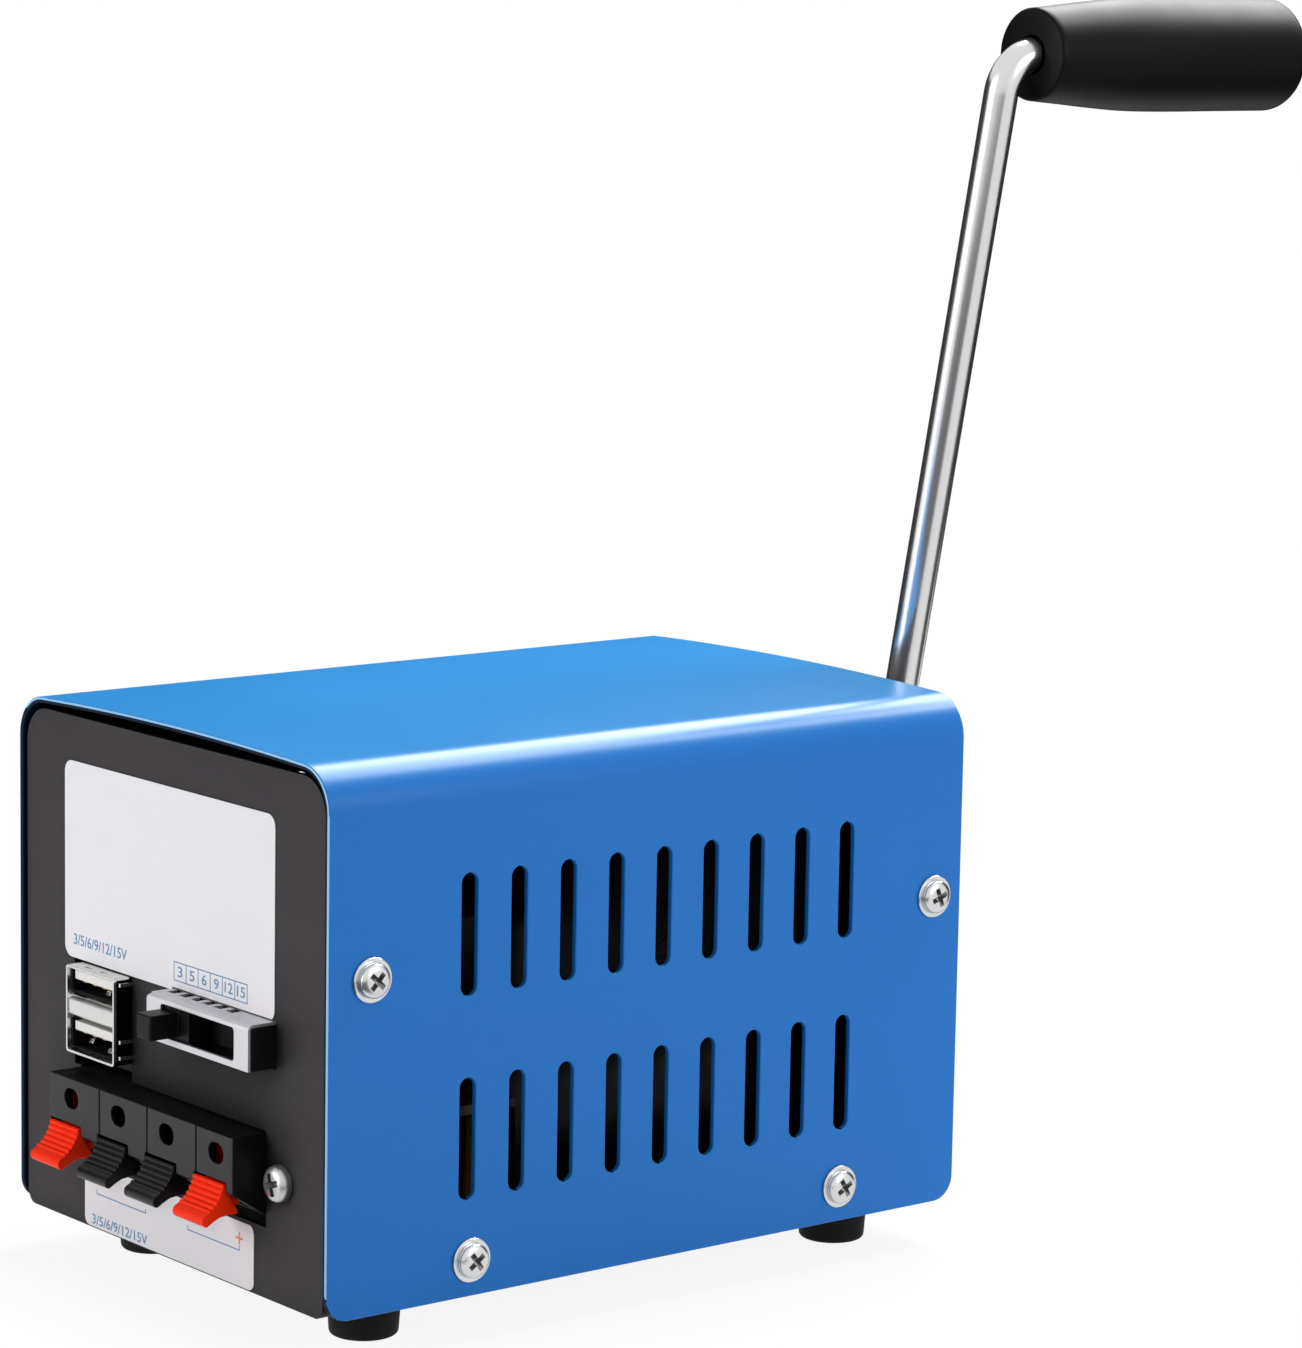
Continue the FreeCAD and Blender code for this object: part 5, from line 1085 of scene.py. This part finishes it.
drawn_bar, tree, shader, where = start_finish("drawn_bright_steel_bar", "#DEDDDE", 0.2, 1.0)
straight = add_node(tree, "Attribute", {"attribute_name": "straight_bar"}).outputs["Vector"]
add_drift(tree, shader, straight, 0.9, "#D2D1D3", 0.17, 0.25, (1.0, 1.0, 0.01))
add_hills(tree, shader, straight, 0.35, 0.0015, (1.0, 1.0, 0.012), 3.0)
add_hills(tree, shader, straight, 14.0, 0.006)

top = SHAFT_HEIGHT + CRANK_LENGTH
lower_bend = arc(ARM_Y - BAR_BEND, SHAFT_HEIGHT + BAR_BEND, BAR_BEND, -90, 0, 14)
upper_bend = arc(ARM_Y + BAR_BEND, top - BAR_BEND, BAR_BEND, 180, 90, 14)
bar_line = [(BAR_START, SHAFT_HEIGHT)] + lower_bend + upper_bend + [(BAR_END, top)]
bar_path = [Vector((0, y, z)) for y, z in bar_line]
bar = bmesh.new()
bar_place = bar.verts.layers.float_vector.new("straight_bar")
rings = add_tube(bar, bar_path, BAR_RADIUS, 48)
travelled = 0.0
for index, ring in enumerate(rings):
    travelled += (bar_path[index] - bar_path[index - 1]).length if index else 0.0
    for vert, (u, v) in zip(ring, circle(0, 0, BAR_RADIUS, 48)):
        vert[bar_place] = Vector((u, v, travelled)) * MM
for vert in bar.verts:
    vert.co = leaned(vert.co)
crank_bar = finish_piece("crank_bar", bar, "crank", drawn_bar, 0.3, 2, 40)
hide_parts("crank_arm")
print("bar length in mm:", round(travelled, 1))

# %% [markdown]
# The grip is a hollow barrel that grows towards its outer end and turns loosely on the bar. It is a profile
# turned about the bar's line. Its curve passes through a few measured radii, and a smooth curve between
# them (a Catmull-Rom spline) is worked out in a line or two, with the same end roundings as a lathe gives.

# %% The grip
GRIP_START = 87.4
GRIP_END = 144.6
GRIP_CURVE = ((87.7, 7.75), (94.0, 8.3), (101.0, 8.95), (108.5, 9.5), (117.5, 9.7), (130.0, 9.7),
              (142.1, 9.7))
GRIP_BORE = BAR_RADIUS + 0.08
RECESS_START = 137.0
RECESS_RADIUS = 5.5


def smooth_through(points, steps):
    """Points on a Catmull-Rom curve through the given ones."""
    known = [Vector(point) for point in points]
    known = [known[0] * 2 - known[1]] + known + [known[-1] * 2 - known[-2]]
    curve = []
    for a, b, c, d in zip(known, known[1:], known[2:], known[3:]):
        for step in range(steps):
            t = step / steps
            curve.append(0.5 * (2 * b + (c - a) * t + (2 * a - 5 * b + 4 * c - d) * t ** 2
                                + (3 * b - a - 3 * c + d) * t ** 3))
    return [tuple(point) for point in curve] + [tuple(known[-2])]


grip_profile = [(GRIP_START, 3.35), (GRIP_START, 7.3), (GRIP_START + 0.12, 7.6)]
grip_profile += smooth_through(GRIP_CURVE, 6)
grip_profile += arc(GRIP_END - 2.5, GRIP_CURVE[-1][1] - 2.5, 2.5, 90, 0, 10)[1:]
grip_profile += [(GRIP_END, RECESS_RADIUS + 0.2), (GRIP_END - 0.2, RECESS_RADIUS)]
grip_profile += [(RECESS_START, RECESS_RADIUS), (RECESS_START, GRIP_BORE), (GRIP_START + 1.6, GRIP_BORE)]
barrel = bmesh.new()
add_turning(barrel, grip_profile, (0, top), "y", 96, loop=True)
for vert in barrel.verts:
    vert.co = leaned(vert.co)
grip = finish_piece("grip_barrel", barrel, "grip", grip_skin, smooth_below=35)
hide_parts("grip")
print("grip rings:", len(grip_profile))

# %% [markdown]
# ## The feet
# Four rubber feet are moulded with a slight taper, a rounded lower rim and a recess for the screw head.

# %% The feet
FOOT_X = 29.8
FOOT_Y = (-46.6, 49.2)
foot_profile = [(0.0, 3.3), (0.0, 4.6)] + arc(0.8, 4.65, 0.8, 180, 90, 5)[1:] + [(COVER_FOOT - 0.9, 5.86)]
foot_profile += [(COVER_FOOT - 0.35, 5.9), (COVER_FOOT, 5.7), (COVER_FOOT, 1.65), (4.0, 1.65), (4.0, 3.3)]
feet = bmesh.new()
for x in (-FOOT_X, FOOT_X):
    for y in FOOT_Y:
        add_turning(feet, foot_profile, (x, y), "z", 56, loop=True)
rubber_feet = finish_piece("rubber_feet_moulded", feet, "case", foot_rubber, smooth_below=40)
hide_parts("rubber_feet")
print("feet:", 2 * len(FOOT_Y))

# %% [markdown]
# ## The printing
# Only plain voltage figures, outlines and a plus sign are printed. Letters start as Blender's text, which
# gives good digit shapes. The text becomes a mesh that is stretched to its place on the label. It stands
# a few hundredths of a millimetre proud, as thick screen ink does, so it never flickers against the film.

# %% The printing
INK = 0.03
label_face = case_box("upper_label")[0].y


def print_box(mesh, x0, x1, z0, z1):
    """A bar of ink on the label, pressed a hundredth of a millimetre into the film."""
    add_box(mesh, x0, x1, label_face - INK, label_face + 0.01, z0, z1)


def print_text(mesh, text, x0, x1, z0, z1):
    """A line of text stretched to fill a rectangle on the label."""
    curve = bpy.data.curves.new("letters", "FONT")
    curve.body = text
    curve.extrude = 0.5
    curve.offset = 0.006
    curve.resolution_u = 4
    holder = bpy.data.objects.new("letters", curve)
    letters = bpy.data.meshes.new_from_object(holder)
    reaches = [(min(along), max(along)) for along in zip(*(vert.co for vert in letters.vertices))]
    for vert in letters.vertices:
        share = Vector([(value - low) / (high - low) for value, (low, high) in zip(vert.co, reaches)])
        depth = label_face + 0.01 - (INK + 0.01) * share.z
        vert.co = (x0 + (x1 - x0) * share.x, depth, z0 + (z1 - z0) * share.y)
    mesh.from_mesh(letters)
    bpy.data.objects.remove(holder)


ALL_VOLTAGES = "3/5/6/9/12/15V"
upper_print = bmesh.new()
print_text(upper_print, ALL_VOLTAGES, -27.8, -12.1, COVER_FOOT + 45.8, COVER_FOOT + 47.6)
FIGURES = ("3", "5", "6", "9", "12", "15")
ONE_DIGIT, TWO_DIGITS = 0.66, 1.1
CELL, HALF_LINE = 3.383, 0.085
CELL_LEFT, CELL_LOW, CELL_HIGH = 1.52, COVER_FOOT + 45.3, COVER_FOOT + 48.22
cell_right = CELL_LEFT + CELL * len(FIGURES)
for index in range(len(FIGURES) + 1):
    x = CELL_LEFT + CELL * index
    print_box(upper_print, x - HALF_LINE, x + HALF_LINE, CELL_LOW, CELL_HIGH)
for z in (CELL_LOW, CELL_HIGH):
    print_box(upper_print, CELL_LEFT - HALF_LINE, cell_right + HALF_LINE, z - HALF_LINE, z + HALF_LINE)
for index, figure in enumerate(FIGURES):
    middle = CELL_LEFT + CELL * (index + 0.5)
    half = ONE_DIGIT if len(figure) == 1 else TWO_DIGITS
    print_text(upper_print, figure, middle - half, middle + half, CELL_LOW + 0.65, CELL_HIGH - 0.6)
finish_piece("upper_label_blue_print", upper_print, "case", blue_ink)

BRACKETS = ((-20.95, -6.55, 6.05), (5.6, 20.0, 6.15))
BRACKET_LINE, BRACKET_RISE = 0.09, 0.7
lower_print = bmesh.new()
print_text(lower_print, ALL_VOLTAGES, -22.35, -6.1, COVER_FOOT + 0.85, COVER_FOOT + 2.5)
for x0, x1, height in BRACKETS:
    z = COVER_FOOT + height
    print_box(lower_print, x0, x1, z - BRACKET_LINE, z + BRACKET_LINE)
    for x in (x0, x1):
        print_box(lower_print, x - BRACKET_LINE, x + BRACKET_LINE, z, z + BRACKET_RISE)
finish_piece("lower_label_blue_print", lower_print, "case", blue_ink)

plus_print = bmesh.new()
plus_centre = (19.97, COVER_FOOT + 8.05)
plus = [(plus_centre[0] + u, plus_centre[1] + v) for u, v in plus_sign(1.0, 0.17)]
add_prism(plus_print, plus, "y", label_face + 0.01, label_face - INK)
finish_piece("lower_label_plus_sign", plus_print, "case", orange_ink)
print("printed pieces: 3")

# %% [markdown]
# ## Finishes for the pieces that stay as the engineering model has them
# Sheet panels, housings, plates, gears and the parts inside already have their true shape. Each gets the
# finish of its own material, and the ones that show get their sharp edges broken. Inside the case the can,
# the gearbox plates, two gears, the shaft, the bushes and the board get dark finishes that are painted
# shade. The engineering mesh has its points split along every hard edge, so a weld joins them before the
# bevel can round the edge.

# %% Finishes by material slot
FINISHES = {
    "blue_paint": blue_enamel, "dark_paint": grey_powder_coat, "zinc": bright_zinc, "rod_steel": gear_steel,
    "gear_steel": gear_steel, "shell_nickel": socket_nickel, "selector_steel": tinned_steel,
    "aluminium": black_anodised, "bronze": bronze_in_painted_shade, "brass": stamped_brass,
    "copper": enamelled_copper, "rubber": foot_rubber, "grip_plastic": grip_skin, "black_plastic": black_abs,
    "white_plastic": white_nylon, "red_plastic": red_abs, "lever_black": black_polished_abs,
    "label_film": label_film, "board_green": solder_mask_in_painted_shade, "epoxy_black": black_epoxy,
    "sleeve_dark": blue_sleeve, "ferrite": ferrite, "carbon": carbon, "lead_red": red_pvc,
    "lead_black": black_pvc,
}
# Painted shade: dark finishes for the can, the gearbox plates, two gears and the shaft inside the case. The
# selector's body and knob get their own black.
OWN_FINISHES = {
    "generator_can": can_painted_shade, "gearbox_front_plate": black_oxide_and_painted_shade, "gearbox_rear_plate": black_oxide_and_painted_shade,
    "drive_gear": black_oxide_and_painted_shade, "wheel_1": black_oxide_and_painted_shade, "crank_shaft": black_oxide_and_painted_shade,
    "selector_body": socket_black_and_painted_shade, "selector_knob": smooth_abs_and_painted_shade,
}
for node, solid in nodes.items():
    for material_slot in solid.material_slots:
        name = material_slot.material.name.split(".")[0]
        material_slot.material = OWN_FINISHES.get(node, FINISHES[name])

BROKEN_EDGES = {
    "selector_body": 0.12, "selector_knob": 0.15, "upper_label": 0.03, "lower_label": 0.03, "crank_hub": 0.1,
    "crank_fixings": 0.05, "grip_cap": 0.15, "heat_sink": 0.1, "regulator": 0.1, "rectifier": 0.15,
    "board": 0.08, "gearbox_front_plate": 0.12, "gearbox_rear_plate": 0.12, "usb_contacts": 0.05,
}
for node, edge in BROKEN_EDGES.items():
    weld = nodes[node].modifiers.new("join_points", "WELD")
    weld.merge_threshold = 1e-6
    soften(nodes[node], edge)
print("finished nodes:", len(nodes))

# %% [markdown]
# ## The size
# The box around the finished model should agree with the box around the frame to a few thousandths of a
# millimetre, because no piece that was made here may reach past the frame. This cell only brings the
# scene up to date.

# %% Bring the scene up to date
bpy.context.view_layer.update()
